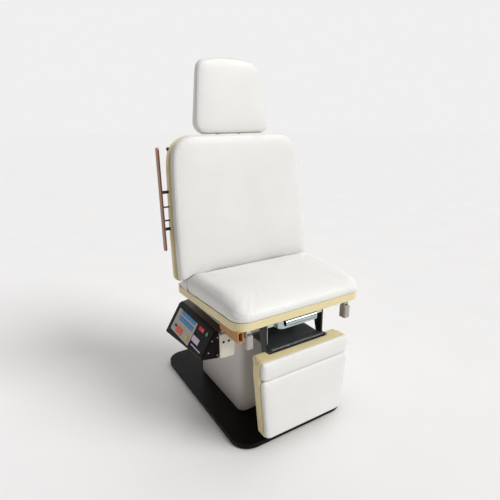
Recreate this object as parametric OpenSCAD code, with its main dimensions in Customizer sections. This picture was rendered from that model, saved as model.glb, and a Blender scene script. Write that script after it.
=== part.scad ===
// Powered procedure exam chair: telescopic column, tilting seat, reclining back,
// folding foot section, sliding pan and stirrups, side control console.
// Millimetres, +Z up. The floor is Z 0, the column's axis is X 0 Y 0,
// and the front of the chair looks along -Y.

/* [Seat] */
// Height of the seat shell's underside above the floor
seat_height = 600; // [560:1:680]
// Distance from the column's axis forward to the seat shell's front edge
seat_reach = 467; // [450:1:490]
// Depth of the seat shell, front to rear
seat_depth = 532; // [528:1:560]
// Half width of the seat shell at the front
seat_half_front = 326; // [322:1:340]
// Half width of the seat shell at the rear
seat_half_rear = 354; // [345:1:370]
// Thickness of the seat shell
seat_shell_t = 34; // [28:1:38]
// Height of the seat cushion at the crease
seat_cushion_t = 91; // [80:1:100]

/* [Back] */
// Recline of the back from vertical in the stored position, degrees
back_recline = 8.24; // [6:0.01:12]
// Length of the back's face above the crease
back_length = 604; // [560:1:660]
// Half width of the back shell at the bottom
back_half_bottom = 379; // [370:1:390]
// Half width of the back shell at the shoulder
back_half_top = 340; // [320:1:352]
// Depth of the back, cushion face to rear of the shell
back_depth = 84; // [80:1:92]
// Length of the headrest
headrest_length = 326; // [280:1:350]
// Half width of the headrest near its bottom
headrest_half = 198; // [180:1:220]

/* [Foot section] */
// Half width of the foot section
foot_half = 239; // [230:1:241]
// Length of the foot section
foot_length = 380; // [340:1:390]

/* [Base] */
// Half width of the floor plate
plate_half = 305; // [280:1:330]
// Length of the floor plate
plate_length = 895; // [860:1:940]
// Thickness of the floor plate
plate_t = 22; // [18:1:26]
// Half width of the column cover
cover_half = 180; // [176:1:200]
// Length of the column cover
cover_length = 447; // [440:1:470]
// Height of the column cover's top above the floor
cover_top = 400; // [390:1:410]

/* [Console] */
// Length of the control console
console_length = 372; // [350:1:390]
// Tilt of the control panel from vertical, degrees
console_tilt = 31.3; // [25:0.1:36]

/* [Clearances] */
// Radial running clearance of a pin in its bore
run_gap = 0.05; // [0.02:0.01:0.09]
// Clearance of a sliding or seated piece
seat_gap = 0.3; // [0.2:0.05:0.35]

/* [Hidden] */
$fn = 48;

// Colours
cream = "#e8d9a4";
cover_grey = "#9b928b";
plate_black = "#1d1512";
vinyl = "#e9e6e0";
slate = "#3b4348";
steel = "#b9bcc0";
dark_brown = "#2b1a16";
block_grey = "#a9a39d";

// Points per rounded corner of a lofted outline
loft_n = 7;
// Overrun of a cut past a face
over = 1;

// Crease between seat and back, from the seat shell's front edge and underside
crease_y = 437;
crease_z = seat_shell_t + seat_cushion_t;

// Base
foot_pad_h = 6;
foot_pad_r = 22;
foot_pad_inset = 60;
foot_stud_r = 5;
foot_stud_h = 12;
centre_pad_r = 60;
plate_rear = 458;
plate_corner = 90;
cover_front = -224;
cover_corner = 34;
cover_wall = 4;
cover_slot_w = 30;
cover_slot_h = 18;
cover_slot_x = -105;
cover_slot_depth = 2.5;
plate_top = foot_pad_h + plate_t;

// Telescopic column, square tubes
mast_half = 75;
mast_wall = 6;
mast_corner = 12;
mast_outer_len = 300;
mast_middle_len = 296;
mast_inner_len = 322;
mast_lift = 10;
mast_flange_half = 100;
mast_flange_t = 10;
middle_half = mast_half - mast_wall - seat_gap;
inner_half = middle_half - mast_wall - seat_gap;
mast_top = plate_top + mast_lift + mast_inner_len;

// Power box and mains inlet
power_half = 90;
power_depth = 100;
power_height = 170;
power_y = 102;
inlet_half_w = 16;
inlet_h = 24;
inlet_depth = 18;
inlet_z = 17;
inlet_wall = 3;
inlet_flange = 5;
inlet_flange_t = 2;
inlet_blade = 1.2;
inlet_blade_gap = 7;

// Lift platform and its shroud
platform_t = 10;
platform_half = 160;
platform_front = -204;
platform_rear = 203;
platform_corner = 24;
cheek_in = 98;
cheek_t = 12;
cheek_half = 37;
cheek_r = 24;
shroud_gap = 4;
shroud_wall = 3;
shroud_len = 312;
shroud_flange = 32;
shroud_flange_t = 2;

// Tilt axis, from the seat shell's front edge and underside
tilt_y = seat_reach;
tilt_z = -75;
tilt_shaft_r = 10;

// Seat frame
rail_in = 116;
rail_w = 30;
rail_h = 50;
rail_front = 62;
rail_rear = 524;
rail_out = rail_in + rail_w;
tilt_lug_t = 12;
tilt_lug_half = 25;
tilt_lug_drop = 50;
cross_size = 30;
front_cross_y = 172;
front_cross_drop = 40;
drop_w = 20;
front_cross_left = 300;
front_cross_right = 190;
mid_cross_y = 256;
rear_cross_y = 494;

// Foot hinge
foot_axis_y = 95;
foot_axis_z = -36;
foot_pin_r = 8;
foot_head_t = 3;
foot_arm_front = 62;
foot_arm_drop = 90;
foot_arm_w = 40;
foot_arm_t = 8;
foot_arm_in = rail_out + seat_gap;
foot_hub_r = 16;

// Linear actuators
act_r = 18;
act_rod_r = 8;
act_pin_r = 6;
act_ear_t = 6;
act_ear_r = 12;
act_lug_t = 8;
act_motor_r = 19;
act_head = 46;
act_neck = 12;
// Wall of the gear head round the tube, and how far the motor sits into the tube
act_wall = 1.5;
act_motor_sink = 3;
lever_r = 50;
eye_r = 14;
lug_r = 21;
foot_eye_r = 17;
foot_lug_r = 24;
tilt_eye_r = 6.6;

act_bore_start = 32;
act_rod_inset = 4;
tilt_base = [345, -200];
tilt_end = [271, -74];
tilt_act_x = 45;
tilt_body_len = 112;
back_base = [300, -66];
back_lever_angle = 50;
back_act_x = -50;
back_body_len = 138;
back_stroke = 62;
foot_base = [400, -71.4];
foot_lever_angle = 45;
foot_act_x = foot_arm_in + foot_arm_t / 2;
eye_play = 9;
tilt_eye_play = 2;
lug_reach = 10;
foot_eye_play = 14;
foot_body_len = 176;

// Back hinge
hinge_y = 474;
hinge_z = 82;
hinge_pin_r = 10;
hinge_block_in = 152;
hinge_block_w = 24;
hinge_block_half = 22;
hinge_boss_r = 16;
knuckle_r = 14;
knuckle_w = 30;

// Console
console_x = -344;
console_y = 170;
console_z = -68;
console_near_h = 127;
console_far_h = 160;
console_back_near = [86, -91];
console_back_far = [102, -118];
console_roof = [17, 23];
console_corner = 10;
overlay_t = 1;
overlay_y = [138, 338];
overlay_z = [14, 122];
overlay_corner = 5;
key_t = 0.8;
key_size = [25, 13];
key_pitch = [31, 28];
key_first = [168, 22];
button_gap = 0.3;
button_travel = 1.5;
button_out = 3;
button_in = 6;
pocket_depth = 9;
yellow_at = [174, 97];
yellow_r = 9;
orange_at = [258, 99];
orange_size = [62, 26];
red_at = [90, 21];
red_size = [46, 16];
red_pin_r = 1.5;
red_pin_depth = 2;
red_pin_reach = 2;
red_depth = 7;
lamp_at = [38, 21];
lamp_r = 9;
label_at = [101, 76];
label_size = [64, 26];
strip_at = [74, 103];
strip_size = [90, 5];

// Console bracket: a front plate, outline in x and z, and a flange along the case
bracket_t = 5;
bracket_screw_r = 4;
bracket_flange_x = -317.5;
bracket_flange_len = 130;
bracket_flange_z = [-176, -92];

// Receiver housing under the left edge
receiver_x = -305;
receiver_w = 26;
receiver_h = 46;
receiver_y = 12;
receiver_len = 150;
receiver_wall = 4;
receiver_bore_len = 120;

// Stirrups
stirrup_x = 260;
guide_size = 25;
guide_y = 62;
guide_len = 345;
bar_size = 16;
bar_front = 28;
bar_len = 372;
bar_drop = (guide_size - bar_size) / 2;
stirrup_pin_r = 4;
stirrup_pin_y = 36;
stirrup_pin_z = -25;
stirrup_ear_t = 5;
stirrup_ear_r = 8;
block_w = 34;
block_d = 38;
block_h = 56;
block_top = -35;
block_y = 16;
block_corner = 8;

// Treatment pan
pan_half = 108;
pan_y = 32;
pan_len = 216;
pan_top = -15;
pan_depth = 42;
pan_wall = 1.5;
pan_flange = 6;
pan_corner = 26;
pan_lip_r = 16;
runner_w = 4.5;
runner_t = 3;

// Back pieces, depth is measured rearward from the face and height up from the crease
back_drop = 49;
back_plate_t = 8;
back_cushion_t = 49;
back_notch_half = 186;
back_notch_top = -16;
back_corner = 112;
back_edge = 11;
back_plate_half = 318;
back_plate_top = 560;
back_rim = 14;

// Side rail on the left of the back
side_rail_s = [100, 555];
side_rail_x = [405, 388];
side_rail_w = 30;
side_rail_t = 7;
side_rail_depth = 55;
spacer_at = [197, 361];
spacer_r = 7;
stud_at = [235, 295];
stud_r = 3.5;

// Headrest
headrest_face = 35;
headrest_s = 610;
headrest_cushion_t = 36;
headrest_shell_t = 24;
headrest_top_half = 152;
headrest_axis_s = 690;
headrest_axis_d = 107;
post_x = 60;
post_r = 8;
post_bottom = 400;
guide_block = [84, 110];
guide_block_s = 474;
head_pin_r = 6;
head_knuckle_r = 11;
head_knuckle_half = 72;
head_lug_t = 8;

// Foot section
foot_front = -30.5;
foot_face_y = -7;
foot_shell_rear = 37;
foot_top = -148.7;
foot_taper = 25;
foot_corner = 26;
foot_bottom_corner = 30;
foot_recess_y = 22;
foot_recess_left = -165;
foot_recess_right = 148;
foot_recess_h = 60;
horn_depth = 24;
horn_w = 56;
horn_h = 74;
pad_split = 88;
pad_inset = 6;
pad_t = foot_face_y - foot_front;
board_half = foot_arm_in - seat_gap;
board_t = 8;
board_rear = 70;
board_drop = 300;
guard_gap = 4;
guard_half = 136;
guard_tab_x = 72;
guard_tab_t = 8;
strip_w = 3;
strip_gap = 3;
strip_half = 140;

// Unit vector
function unit(v) = v / norm(v);

// Points of the arc of radius r that rounds the corner p between a and b
function corner_arc(a, p, b, r, n) =
  let (
    u = unit(a - p), v = unit(b - p), half = acos(u * v) / 2,
    c = p + unit(u + v) * r / sin(half),
    s = p + u * r / tan(half) - c, e = p + v * r / tan(half) - c,
    from = atan2(s[1], s[0]), raw = atan2(e[1], e[0]) - from,
    turn = raw > 180 ? raw - 360 : raw < -180 ? raw + 360 : raw
  )
  [for (i = [0:n]) c + r * [cos(from + turn * i / n), sin(from + turn * i / n)]];

// Outline of corners P rounded by radii R, n steps per corner
function rounded(P, R, n) =
  let (k = len(P))
  [for (i = [0:k - 1]) each corner_arc(P[(i + k - 1) % k], P[i], P[(i + 1) % k], R[i], n)];

// Corners P moved inward by d
function inset(P, d) =
  let (k = len(P))
  [for (i = [0:k - 1])
    let (
      u = unit(P[(i + k - 1) % k] - P[i]), v = unit(P[(i + 1) % k] - P[i]),
      half = acos(u * v) / 2
    )
    P[i] + unit(u + v) * d / sin(half)];

// Radii R of an outline moved inward by d, never under a small share of themselves
function inset_radii(R, d) = [for (r = R) max(r - d, r * 0.2)];

// Points Q drawn in by d toward the centre line x 0 and the height c, where the shape's
// half width is w and its half height h
function drawn_in(Q, c, w, h, d) =
  [for (q = Q) [q[0] * (1 - d / w), c + (q[1] - c) * (1 - d / h)]];

// Corners of a rectangle
function box_corners(x0, x1, y0, y1) = [[x0, y0], [x1, y0], [x1, y1], [x0, y1]];

// Corners of a symmetric shape from its right-hand corners, listed upward
function mirrored(H) =
  concat(H, [for (i = [len(H) - 1:-1:0]) [-H[i][0], H[i][1]]]);
function mirrored_radii(R) = concat(R, [for (i = [len(R) - 1:-1:0]) R[i]]);

// Closed solid through rings of equal point counts, counter-clockwise seen from the end
module loft(rings) {
  n = len(rings[0]);
  m = len(rings);
  polyhedron(
    points = [for (r = rings) each r],
    faces = concat(
      [[for (i = [0:n - 1]) i]],
      [for (k = [0:m - 2], i = [0:n - 1])
        let (a = k * n + i, b = k * n + (i + 1) % n)
        [a, a + n, b + n, b]],
      [[for (i = [n - 1:-1:0]) (m - 1) * n + i]]
    )
  );
}

// Closed solid through rings, its end closed by a fan to the point top
module domed(rings, top) {
  n = len(rings[0]);
  m = len(rings);
  polyhedron(
    points = concat([for (r = rings) each r], [top]),
    faces = concat(
      [[for (i = [0:n - 1]) i]],
      [for (k = [0:m - 2], i = [0:n - 1], t = [0, 1])
        let (a = k * n + i, b = k * n + (i + 1) % n)
        t == 0 ? [a, a + n, b + n] : [a, b + n, b]],
      [for (i = [0:n - 1]) [(m - 1) * n + (i + 1) % n, (m - 1) * n + i, m * n]]
    )
  );
}

// Rounded slab with softened top edge: outline P, radii R, height h, edge radius e
module soft_slab(P, R, h, e) {
  steps = 3;
  loft(concat(
    [[for (q = rounded(P, R, loft_n)) [q[0], q[1], 0]]],
    [for (k = [0:steps])
      let (a = 90 * k / steps, d = e * (1 - cos(a)))
      [for (q = rounded(inset(P, d), inset_radii(R, d), loft_n)) [q[0], q[1], h - e + e * sin(a)]]]
  ));
}

// Plain rounded plate
module plate(P, R, h) {
  linear_extrude(h) polygon(rounded(P, R, loft_n));
}

// Square tube of half width a
module square_tube(a, wall, h) {
  difference() {
    plate(box_corners(-a, a, -a, a), [for (i = [0:3]) mast_corner], h);
    translate([0, 0, -over])
      plate(box_corners(wall - a, a - wall, wall - a, a - wall),
        [for (i = [0:3]) mast_corner - wall], h + 2 * over);
  }
}

// Cylinder along X
module x_cyl(x0, x1, r) {
  translate([x0, 0, 0]) rotate([0, 90, 0]) cylinder(h = x1 - x0, r = r);
}

// Outline in y and z, extruded along X from x0 to x1
module side_plate(P, R, x0, x1) {
  translate([x0, 0, 0]) rotate([90, 0, 90]) plate(P, R, x1 - x0);
}

// Frames of reference
module at_seat() {
  translate([0, -seat_reach, seat_height]) children();
}
module at_back() {
  at_seat() translate([0, crease_y, crease_z]) rotate([-back_recline, 0, 0]) children();
}
module at_panel() {
  at_seat() translate([console_x, console_y, console_z]) rotate([0, console_tilt, 0]) children();
}

// Panel point u along the console, v down the panel
module on_panel(at) {
  at_panel() translate([0, at[0], -at[1]]) rotate([0, -90, 0]) children();
}

// A point of the back from the seat frame's y and z
function to_back(y, z) =
  let (dy = y - crease_y, dz = z - crease_z, c = cos(back_recline), s = sin(back_recline))
  [dy * c - dz * s, dy * s + dz * c];
hinge_in_back = to_back(hinge_y, hinge_z);
back_end = [hinge_y + lever_r * sin(back_lever_angle), hinge_z - lever_r * cos(back_lever_angle)];
foot_end = [foot_axis_y + lever_r * sin(foot_lever_angle),
  foot_axis_z - lever_r * cos(foot_lever_angle)];

// Outlines
cover_corners = box_corners(-cover_half, cover_half, cover_front, cover_front + cover_length);
cover_radii = [for (i = [0:3]) cover_corner];
seat_corners = mirrored([[seat_half_front, 0], [seat_half_rear, seat_depth]]);
seat_radii = [60, 26, 26, 60];
back_corners = mirrored([
  [back_half_bottom, -back_drop],
  [back_half_bottom - 9, back_length * 0.35],
  [back_half_top + 12, back_length * 0.78],
  [back_half_top - 10, back_length]
]);
back_radii = mirrored_radii([24, 400, 400, back_corner]);
headrest_corners = mirrored([[headrest_half + 6, 0], [headrest_top_half, headrest_length]]);
headrest_radii = [50, 55, 55, 50];
foot_corners = mirrored([[foot_half - foot_taper, -foot_length], [foot_half, -60], [foot_half - 4, 0]]);
foot_radii = mirrored_radii([foot_bottom_corner, 200, foot_corner]);

// Floor plate
module base_plate() {
  color(plate_black)
    translate([0, 0, foot_pad_h])
    difference() {
      plate(box_corners(-plate_half, plate_half, plate_rear - plate_length, plate_rear),
        [for (i = [0:3]) plate_corner], plate_t);
      for (p = foot_places()) translate([p[0], p[1], -over])
        cylinder(h = foot_stud_h + over + seat_gap, r = foot_stud_r + seat_gap);
    }
}

function foot_places() = [
  for (sx = [-1, 1], y = [plate_rear - foot_pad_inset, plate_rear - plate_length + foot_pad_inset])
    [sx * (plate_half - foot_pad_inset), y]
];

module levelling_feet() {
  color("#202020")
    for (p = foot_places()) translate([p[0], p[1], 0]) {
      cylinder(h = foot_pad_h, r = foot_pad_r);
      cylinder(h = foot_pad_h + foot_stud_h, r = foot_stud_r);
    }
  color("#202020") cylinder(h = foot_pad_h, r = centre_pad_r);
}

// Column cover, an open box with rounded upright corners
module base_cover() {
  h = cover_top - plate_top;
  color(cover_grey)
    translate([0, 0, plate_top])
    difference() {
      plate(cover_corners, cover_radii, h);
      translate([0, 0, -over])
        plate(inset(cover_corners, cover_wall), inset_radii(cover_radii, cover_wall), h + 2 * over);
      translate([cover_slot_x, cover_front - over, -over])
        cube([cover_slot_w, cover_slot_depth + over, cover_slot_h + over]);
      translate([-inlet_half_w - seat_gap, cover_front + cover_length - 2 * cover_wall,
        inlet_z - inlet_h / 2 - seat_gap])
        cube([2 * (inlet_half_w + seat_gap), 3 * cover_wall, inlet_h + 2 * seat_gap]);
    }
}

module mast_outer() {
  color(steel)
    translate([0, 0, plate_top]) {
      square_tube(mast_half, mast_wall, mast_outer_len);
      difference() {
        plate(box_corners(-mast_flange_half, mast_flange_half, -mast_flange_half, mast_flange_half),
          [for (i = [0:3]) mast_corner], mast_flange_t);
        translate([0, 0, -over])
          plate(box_corners(-mast_half, mast_half, -mast_half, mast_half),
            [for (i = [0:3]) mast_corner], mast_flange_t + 2 * over);
      }
    }
}

module mast_middle() {
  color(steel)
    translate([0, 0, plate_top + mast_lift / 2])
    square_tube(middle_half, mast_wall, mast_middle_len);
}

module mast_inner() {
  color(steel)
    translate([0, 0, plate_top + mast_lift])
    square_tube(inner_half, mast_wall, mast_inner_len);
}

module power_box() {
  color(dark_brown)
    translate([0, 0, plate_top])
    plate(box_corners(-power_half, power_half, power_y, power_y + power_depth),
      [for (i = [0:3]) mast_corner], power_height);
}

// Appliance inlet with three blades, low on the cover's rear wall
module mains_inlet() {
  rear = cover_front + cover_length;
  color("#181818")
    translate([0, rear, plate_top + inlet_z]) {
      difference() {
        union() {
          translate([-inlet_half_w, -inlet_depth, -inlet_h / 2])
            cube([2 * inlet_half_w, inlet_depth, inlet_h]);
          translate([-inlet_half_w - inlet_flange, 0, -inlet_h / 2 - inlet_flange / 2])
            cube([2 * (inlet_half_w + inlet_flange), inlet_flange_t, inlet_h + inlet_flange]);
        }
        translate([-inlet_half_w + inlet_wall, inlet_wall - inlet_depth, inlet_wall - inlet_h / 2])
          cube([2 * (inlet_half_w - inlet_wall), inlet_depth + over, inlet_h - 2 * inlet_wall]);
      }
      for (x = [-inlet_blade_gap, 0, inlet_blade_gap])
        translate([x - inlet_blade, -inlet_depth + inlet_wall, -2 * inlet_blade])
          cube([2 * inlet_blade, inlet_depth - 2 * inlet_wall, 4 * inlet_blade]);
    }
}

// Platform on the column's head with the tilt cheeks and the tilt actuator's lugs
module lift_platform() {
  cheek_h = seat_height + tilt_z - mast_top - platform_t;
  color(slate) difference() {
    union() {
      translate([0, 0, mast_top])
        plate(box_corners(-platform_half, platform_half, platform_front, platform_rear),
          [for (i = [0:3]) platform_corner], platform_t);
      for (sx = [-1, 1])
        translate([0, tilt_y - seat_reach, mast_top + platform_t])
          side_plate([[-cheek_half, 0], [cheek_half, 0], [cheek_r, cheek_h + cheek_r],
            [-cheek_r, cheek_h + cheek_r]], [2, 2, cheek_r * 0.8, cheek_r * 0.8],
            sx > 0 ? cheek_in : -cheek_in - cheek_t, sx > 0 ? cheek_in + cheek_t : -cheek_in);
      at_seat() translate([tilt_act_x, tilt_base[0], 0])
        side_plate(box_corners(-act_ear_r, act_ear_r,
          mast_top + platform_t - seat_height, tilt_base[1] + act_ear_r),
          [2, 2, act_ear_r * 0.9, act_ear_r * 0.9], -act_lug_t / 2, act_lug_t / 2);
    }
    at_seat() translate([0, tilt_y, tilt_z])
      x_cyl(-rail_out, rail_out, tilt_shaft_r + run_gap);
    at_seat() translate([tilt_act_x, tilt_base[0], tilt_base[1]])
      x_cyl(-act_lug_t, act_lug_t, act_pin_r + run_gap);
  }
}

// Shroud that rises out of the cover with the platform
module upper_shroud() {
  d = cover_wall + shroud_gap;
  P = inset(cover_corners, d);
  R = inset_radii(cover_radii, d);
  color(cover_grey)
    translate([0, 0, mast_top + platform_t - shroud_len])
    difference() {
      plate(P, R, shroud_len + shroud_flange_t);
      translate([0, 0, -over])
        plate(inset(P, shroud_wall), inset_radii(R, shroud_wall), shroud_len + over);
      translate([0, 0, shroud_len - over])
        plate(inset(P, shroud_flange), inset_radii(R, shroud_flange), shroud_flange_t + 2 * over);
    }
}

// Linear actuator's body along +X of its own frame, its base pivot at the origin:
// fork and pin, gear head, outer tube and a motor beside it
module actuator_body(length, motor_side) {
  motor_at = act_r + act_motor_r - act_motor_sink;
  difference() {
    union() {
      for (sy = [-1, 1]) translate([0, sy * (act_lug_t / 2 + seat_gap + act_ear_t / 2), 0])
        rotate([90, 0, 0]) translate([0, 0, -act_ear_t / 2]) {
          cylinder(h = act_ear_t, r = act_ear_r);
          translate([0, -act_ear_r, 0]) cube([act_ear_r + act_neck, 2 * act_ear_r, act_ear_t]);
        }
      translate([act_ear_r + 4 * seat_gap, 0, 0]) rotate([0, 90, 0])
        cylinder(h = length - act_ear_r, r = act_r);
      translate([act_ear_r + act_neck, -act_r - act_wall,
          motor_side > 0 ? -act_r - act_wall : -motor_at - act_motor_r - act_wall])
        cube([act_head / 2, 2 * (act_r + act_wall), act_r + motor_at + act_motor_r + 2 * act_wall]);
      translate([act_ear_r + act_neck, 0, motor_side * motor_at])
        rotate([0, 90, 0]) cylinder(h = length - act_head, r = act_motor_r);
    }
    translate([act_bore_start, 0, 0]) rotate([0, 90, 0])
      cylinder(h = length, r = act_rod_r + run_gap);
  }
  pivot_pin();
}

// Pin through a fork at the origin
module pivot_pin() {
  h = act_lug_t + 2 * (seat_gap + act_ear_t);
  rotate([90, 0, 0]) translate([0, 0, -h / 2]) cylinder(h = h, r = act_pin_r);
}

// Rod from x = start to its fork; the fork leaves room for play round the lever's eye
module actuator_rod(total, start, reach) {
  block = total - reach - act_neck;
  translate([start, 0, 0]) rotate([0, 90, 0])
    cylinder(h = block - start + act_neck / 2, r = act_rod_r);
  translate([block, -act_lug_t / 2 - seat_gap - act_ear_t, -act_rod_r])
    cube([act_neck, act_lug_t + 2 * (seat_gap + act_ear_t), 2 * act_rod_r]);
  for (sy = [-1, 1]) translate([0, sy * (act_lug_t / 2 + seat_gap + act_ear_t / 2), 0])
    rotate([90, 0, 0]) translate([0, 0, -act_ear_t / 2]) {
      translate([total, 0, 0]) cylinder(h = act_ear_t, r = act_ear_r);
      translate([block, -act_rod_r, 0]) cube([total - block, 2 * act_rod_r, act_ear_t]);
    }
  translate([total, 0, 0]) pivot_pin();
}

// Places children with the actuator's frame: +X from base to end
module actuator_frame(x, base, end) {
  at_seat() translate([x, base[0], base[1]])
    rotate([atan2(end[1] - base[1], end[0] - base[0]), 0, 0]) rotate([0, 0, 90]) children();
}

module tilt_actuator_body() {
  color("#2c2f33") actuator_frame(tilt_act_x, tilt_base, tilt_end)
    actuator_body(tilt_body_len, 1);
}
module tilt_actuator_rod() {
  color(steel) actuator_frame(tilt_act_x, tilt_base, tilt_end)
    actuator_rod(norm(tilt_end - tilt_base), act_bore_start + act_rod_inset,
      act_ear_r + tilt_eye_play);
}
module back_actuator_body() {
  color("#2c2f33") actuator_frame(back_act_x, back_base, back_end)
    actuator_body(back_body_len, -1);
}
module back_actuator_rod() {
  color(steel) actuator_frame(back_act_x, back_base, back_end)
    actuator_rod(norm(back_end - back_base), act_bore_start + act_rod_inset + back_stroke,
      lug_r + eye_play);
}
module foot_actuator_body() {
  color("#2c2f33") actuator_frame(foot_act_x, foot_base, foot_end)
    actuator_body(foot_body_len, 1);
}
module foot_actuator_rod() {
  color(steel) actuator_frame(foot_act_x, foot_base, foot_end)
    actuator_rod(norm(foot_end - foot_base), act_bore_start + act_rod_inset,
      foot_lug_r + foot_eye_play);
}

// Hanging lug in the y and z plane: top edge from y0 to y1 at z1, round end about p
module hanging_lug(y0, y1, z1, p, r, t) {
  side_plate([[y0, z1], [p[0] - r, p[1] - r], [p[0] + r, p[1] - r], [y1, z1]],
    [1, r * 0.9, r * 0.9, 1], -t / 2, t / 2);
}

// Welded frame under the seat shell: two rails, three cross members, drop blocks and lugs
module seat_frame() {
  color(cream) at_seat() difference() {
    union() {
      for (sx = [-1, 1]) {
        translate([sx > 0 ? rail_in : -rail_out, rail_front, -rail_h])
          cube([rail_w, rail_rear - rail_front, rail_h]);
        translate([sx > 0 ? rail_in : -rail_in - drop_w, front_cross_y,
          -rail_h - front_cross_drop])
          cube([drop_w, cross_size, front_cross_drop]);
        side_plate([[tilt_y - tilt_lug_half, -rail_h], [tilt_y - tilt_lug_half * 0.7,
          -rail_h - tilt_lug_drop], [tilt_y + tilt_lug_half * 0.7, -rail_h - tilt_lug_drop],
          [tilt_y + tilt_lug_half, -rail_h]], [1, tilt_lug_half * 0.5, tilt_lug_half * 0.5, 1],
          sx > 0 ? rail_in : -rail_in - tilt_lug_t, sx > 0 ? rail_in + tilt_lug_t : -rail_in);
      }
      translate([-front_cross_left, front_cross_y, -rail_h - front_cross_drop - cross_size])
        cube([front_cross_left + front_cross_right, cross_size, cross_size]);
      for (y = [mid_cross_y, rear_cross_y]) translate([-rail_in, y, -rail_h])
        cube([2 * rail_in, cross_size, cross_size]);
      translate([tilt_act_x, 0, 0])
        hanging_lug(mid_cross_y, mid_cross_y + cross_size, -rail_h, tilt_end, act_ear_r, act_lug_t);
      translate([back_act_x - act_lug_t / 2, 0, 0])
        side_plate([[mid_cross_y + cross_size, -rail_h + cross_size],
          [mid_cross_y + cross_size, back_base[1] - act_ear_r],
          [back_base[0] + lug_reach, back_base[1] - act_ear_r],
          [back_base[0] + lug_reach, back_base[1] + lug_reach / 2]],
          [0.5, 0.5, 8, 5], 0, act_lug_t);
      translate([foot_act_x, 0, 0])
        hanging_lug(foot_base[0] - act_ear_r, foot_base[0] + cross_size, 0, foot_base,
          act_ear_r, act_lug_t);
      translate([rail_out, foot_base[0] - cross_size / 2, -cross_size])
        cube([foot_act_x - rail_out, cross_size, cross_size]);
    }
    translate([0, tilt_y, tilt_z]) x_cyl(-rail_out, rail_out, tilt_shaft_r + run_gap);
    translate([tilt_act_x, tilt_end[0], tilt_end[1]])
      x_cyl(-act_lug_t, act_lug_t, tilt_eye_r);
    translate([back_act_x, back_base[0], back_base[1]])
      x_cyl(-act_lug_t, act_lug_t, act_pin_r + run_gap);
    translate([foot_act_x, foot_base[0], foot_base[1]])
      x_cyl(-act_lug_t, act_lug_t, act_pin_r + run_gap);
  }
  // Pins that carry the foot section's arms
  color(steel) at_seat() translate([0, foot_axis_y, foot_axis_z]) {
    for (sx = [0, 1]) mirror([sx, 0, 0]) {
      x_cyl(rail_out - over, foot_arm_in + foot_arm_t + 2 * seat_gap, foot_pin_r);
      translate([foot_arm_in + foot_arm_t + seat_gap, 0, 0]) x_cyl(0, foot_head_t, foot_pin_r * 1.4);
    }
  }
}

module tilt_shaft() {
  half = rail_in + tilt_lug_t + 3;
  color(steel) at_seat() translate([0, tilt_y, tilt_z]) x_cyl(-half, half, tilt_shaft_r);
}

// Moulded shell under the seat cushion, slotted at the rear for the back's actuator
module seat_shell() {
  slot = act_r + 3;
  color(cream) at_seat() difference() {
    plate(seat_corners, seat_radii, seat_shell_t);
    translate([back_act_x - slot, back_base[0] + 40, -over])
      cube([2 * slot, seat_depth, seat_shell_t + 2 * over]);
  }
}

// Height of the seat cushion's top over the shell at x, y
function seat_crown(x, y) =
  let (
    front = min(1, y / (crease_y * 0.38)), f = 1 - pow(1 - front, 2.2),
    side = 1 - pow(abs(x) / (seat_half_rear * 1.02), 6) * 0.28
  )
  seat_cushion_t * (0.50 + 0.46 * f + 0.04 * y / crease_y) * side;

module seat_cushion() {
  end_y = crease_y + 30;
  P = mirrored([[seat_half_front - 2, -3], [seat_half_rear - 6, end_y]]);
  R = [62, 14, 14, 62];
  // Distance in from the edge and share of the crown's height, from the base up
  steps = [[7, 0], [1.5, 0.14], [0, 0.3], [3, 0.46], [10, 0.62], [22, 0.77], [40, 0.89],
    [66, 0.96], [100, 0.99], [160, 1]];
  rings = [for (s = steps)
    [for (q = drawn_in(rounded(P, R, 10), end_y / 2, seat_half_rear, end_y / 2, s[0]))
      [q[0], q[1], seat_crown(q[0], q[1]) * s[1]]]];
  color(vinyl) at_seat() difference() {
    translate([0, 0, seat_shell_t]) domed(rings, [0, end_y / 2, seat_crown(0, end_y / 2)]);
    translate([0, crease_y, crease_z]) rotate([-back_recline, 0, 0])
      translate([-seat_half_rear * 1.2, -2, -2 * seat_cushion_t])
      cube([seat_half_rear * 2.4, 90, 4 * seat_cushion_t]);
  }
}

// Accessory receiver under the left front edge, a box with a socket that opens forward
module receiver_housing() {
  color(cream) at_seat()
    translate([receiver_x - receiver_w / 2, receiver_y, -receiver_h])
    difference() {
      cube([receiver_w, receiver_len, receiver_h]);
      translate([receiver_wall, -over, receiver_wall])
        cube([receiver_w - 2 * receiver_wall, receiver_bore_len + over,
          receiver_h - 2 * receiver_wall]);
    }
}

// Square guides for the stirrup bars
module stirrup_guides() {
  bore = bar_size + 2 * seat_gap;
  color(slate) at_seat() for (sx = [-1, 1])
    translate([sx * stirrup_x - guide_size / 2, guide_y, -guide_size]) difference() {
      cube([guide_size, guide_len, guide_size]);
      translate([(guide_size - bore) / 2, -over, (guide_size - bore) / 2])
        cube([bore, guide_len + 2 * over, bore]);
    }
}

// Ledges on the rails' inner faces that carry the pan's rims
module pan_runners() {
  color(steel) at_seat() for (sx = [-1, 1])
    translate([sx > 0 ? rail_in - runner_w : -rail_in, rail_front,
      pan_top - pan_wall - seat_gap - runner_t])
      cube([runner_w, pan_len, runner_t]);
}

// Cream plate that ties the console to the front cross member
module console_bracket() {
  color(cream) at_seat() translate([bracket_flange_x, front_cross_y - bracket_t / 2,
    bracket_flange_z[0]])
    cube([bracket_t, bracket_flange_len, bracket_flange_z[1] - bracket_flange_z[0]]);
  color(cream) at_seat() translate([0, front_cross_y, 0]) rotate([90, 0, 0]) difference() {
    plate([[-318, -190], [-250, -195], [-246, -135], [-280, -100], [-290, -82], [-318, -82]],
      [4, 10, 14, 10, 3, 3], bracket_t);
    for (x = [-300, -275]) translate([x, -118, -over])
      cylinder(h = bracket_t + 2 * over, r = bracket_screw_r);
  }
}

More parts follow.
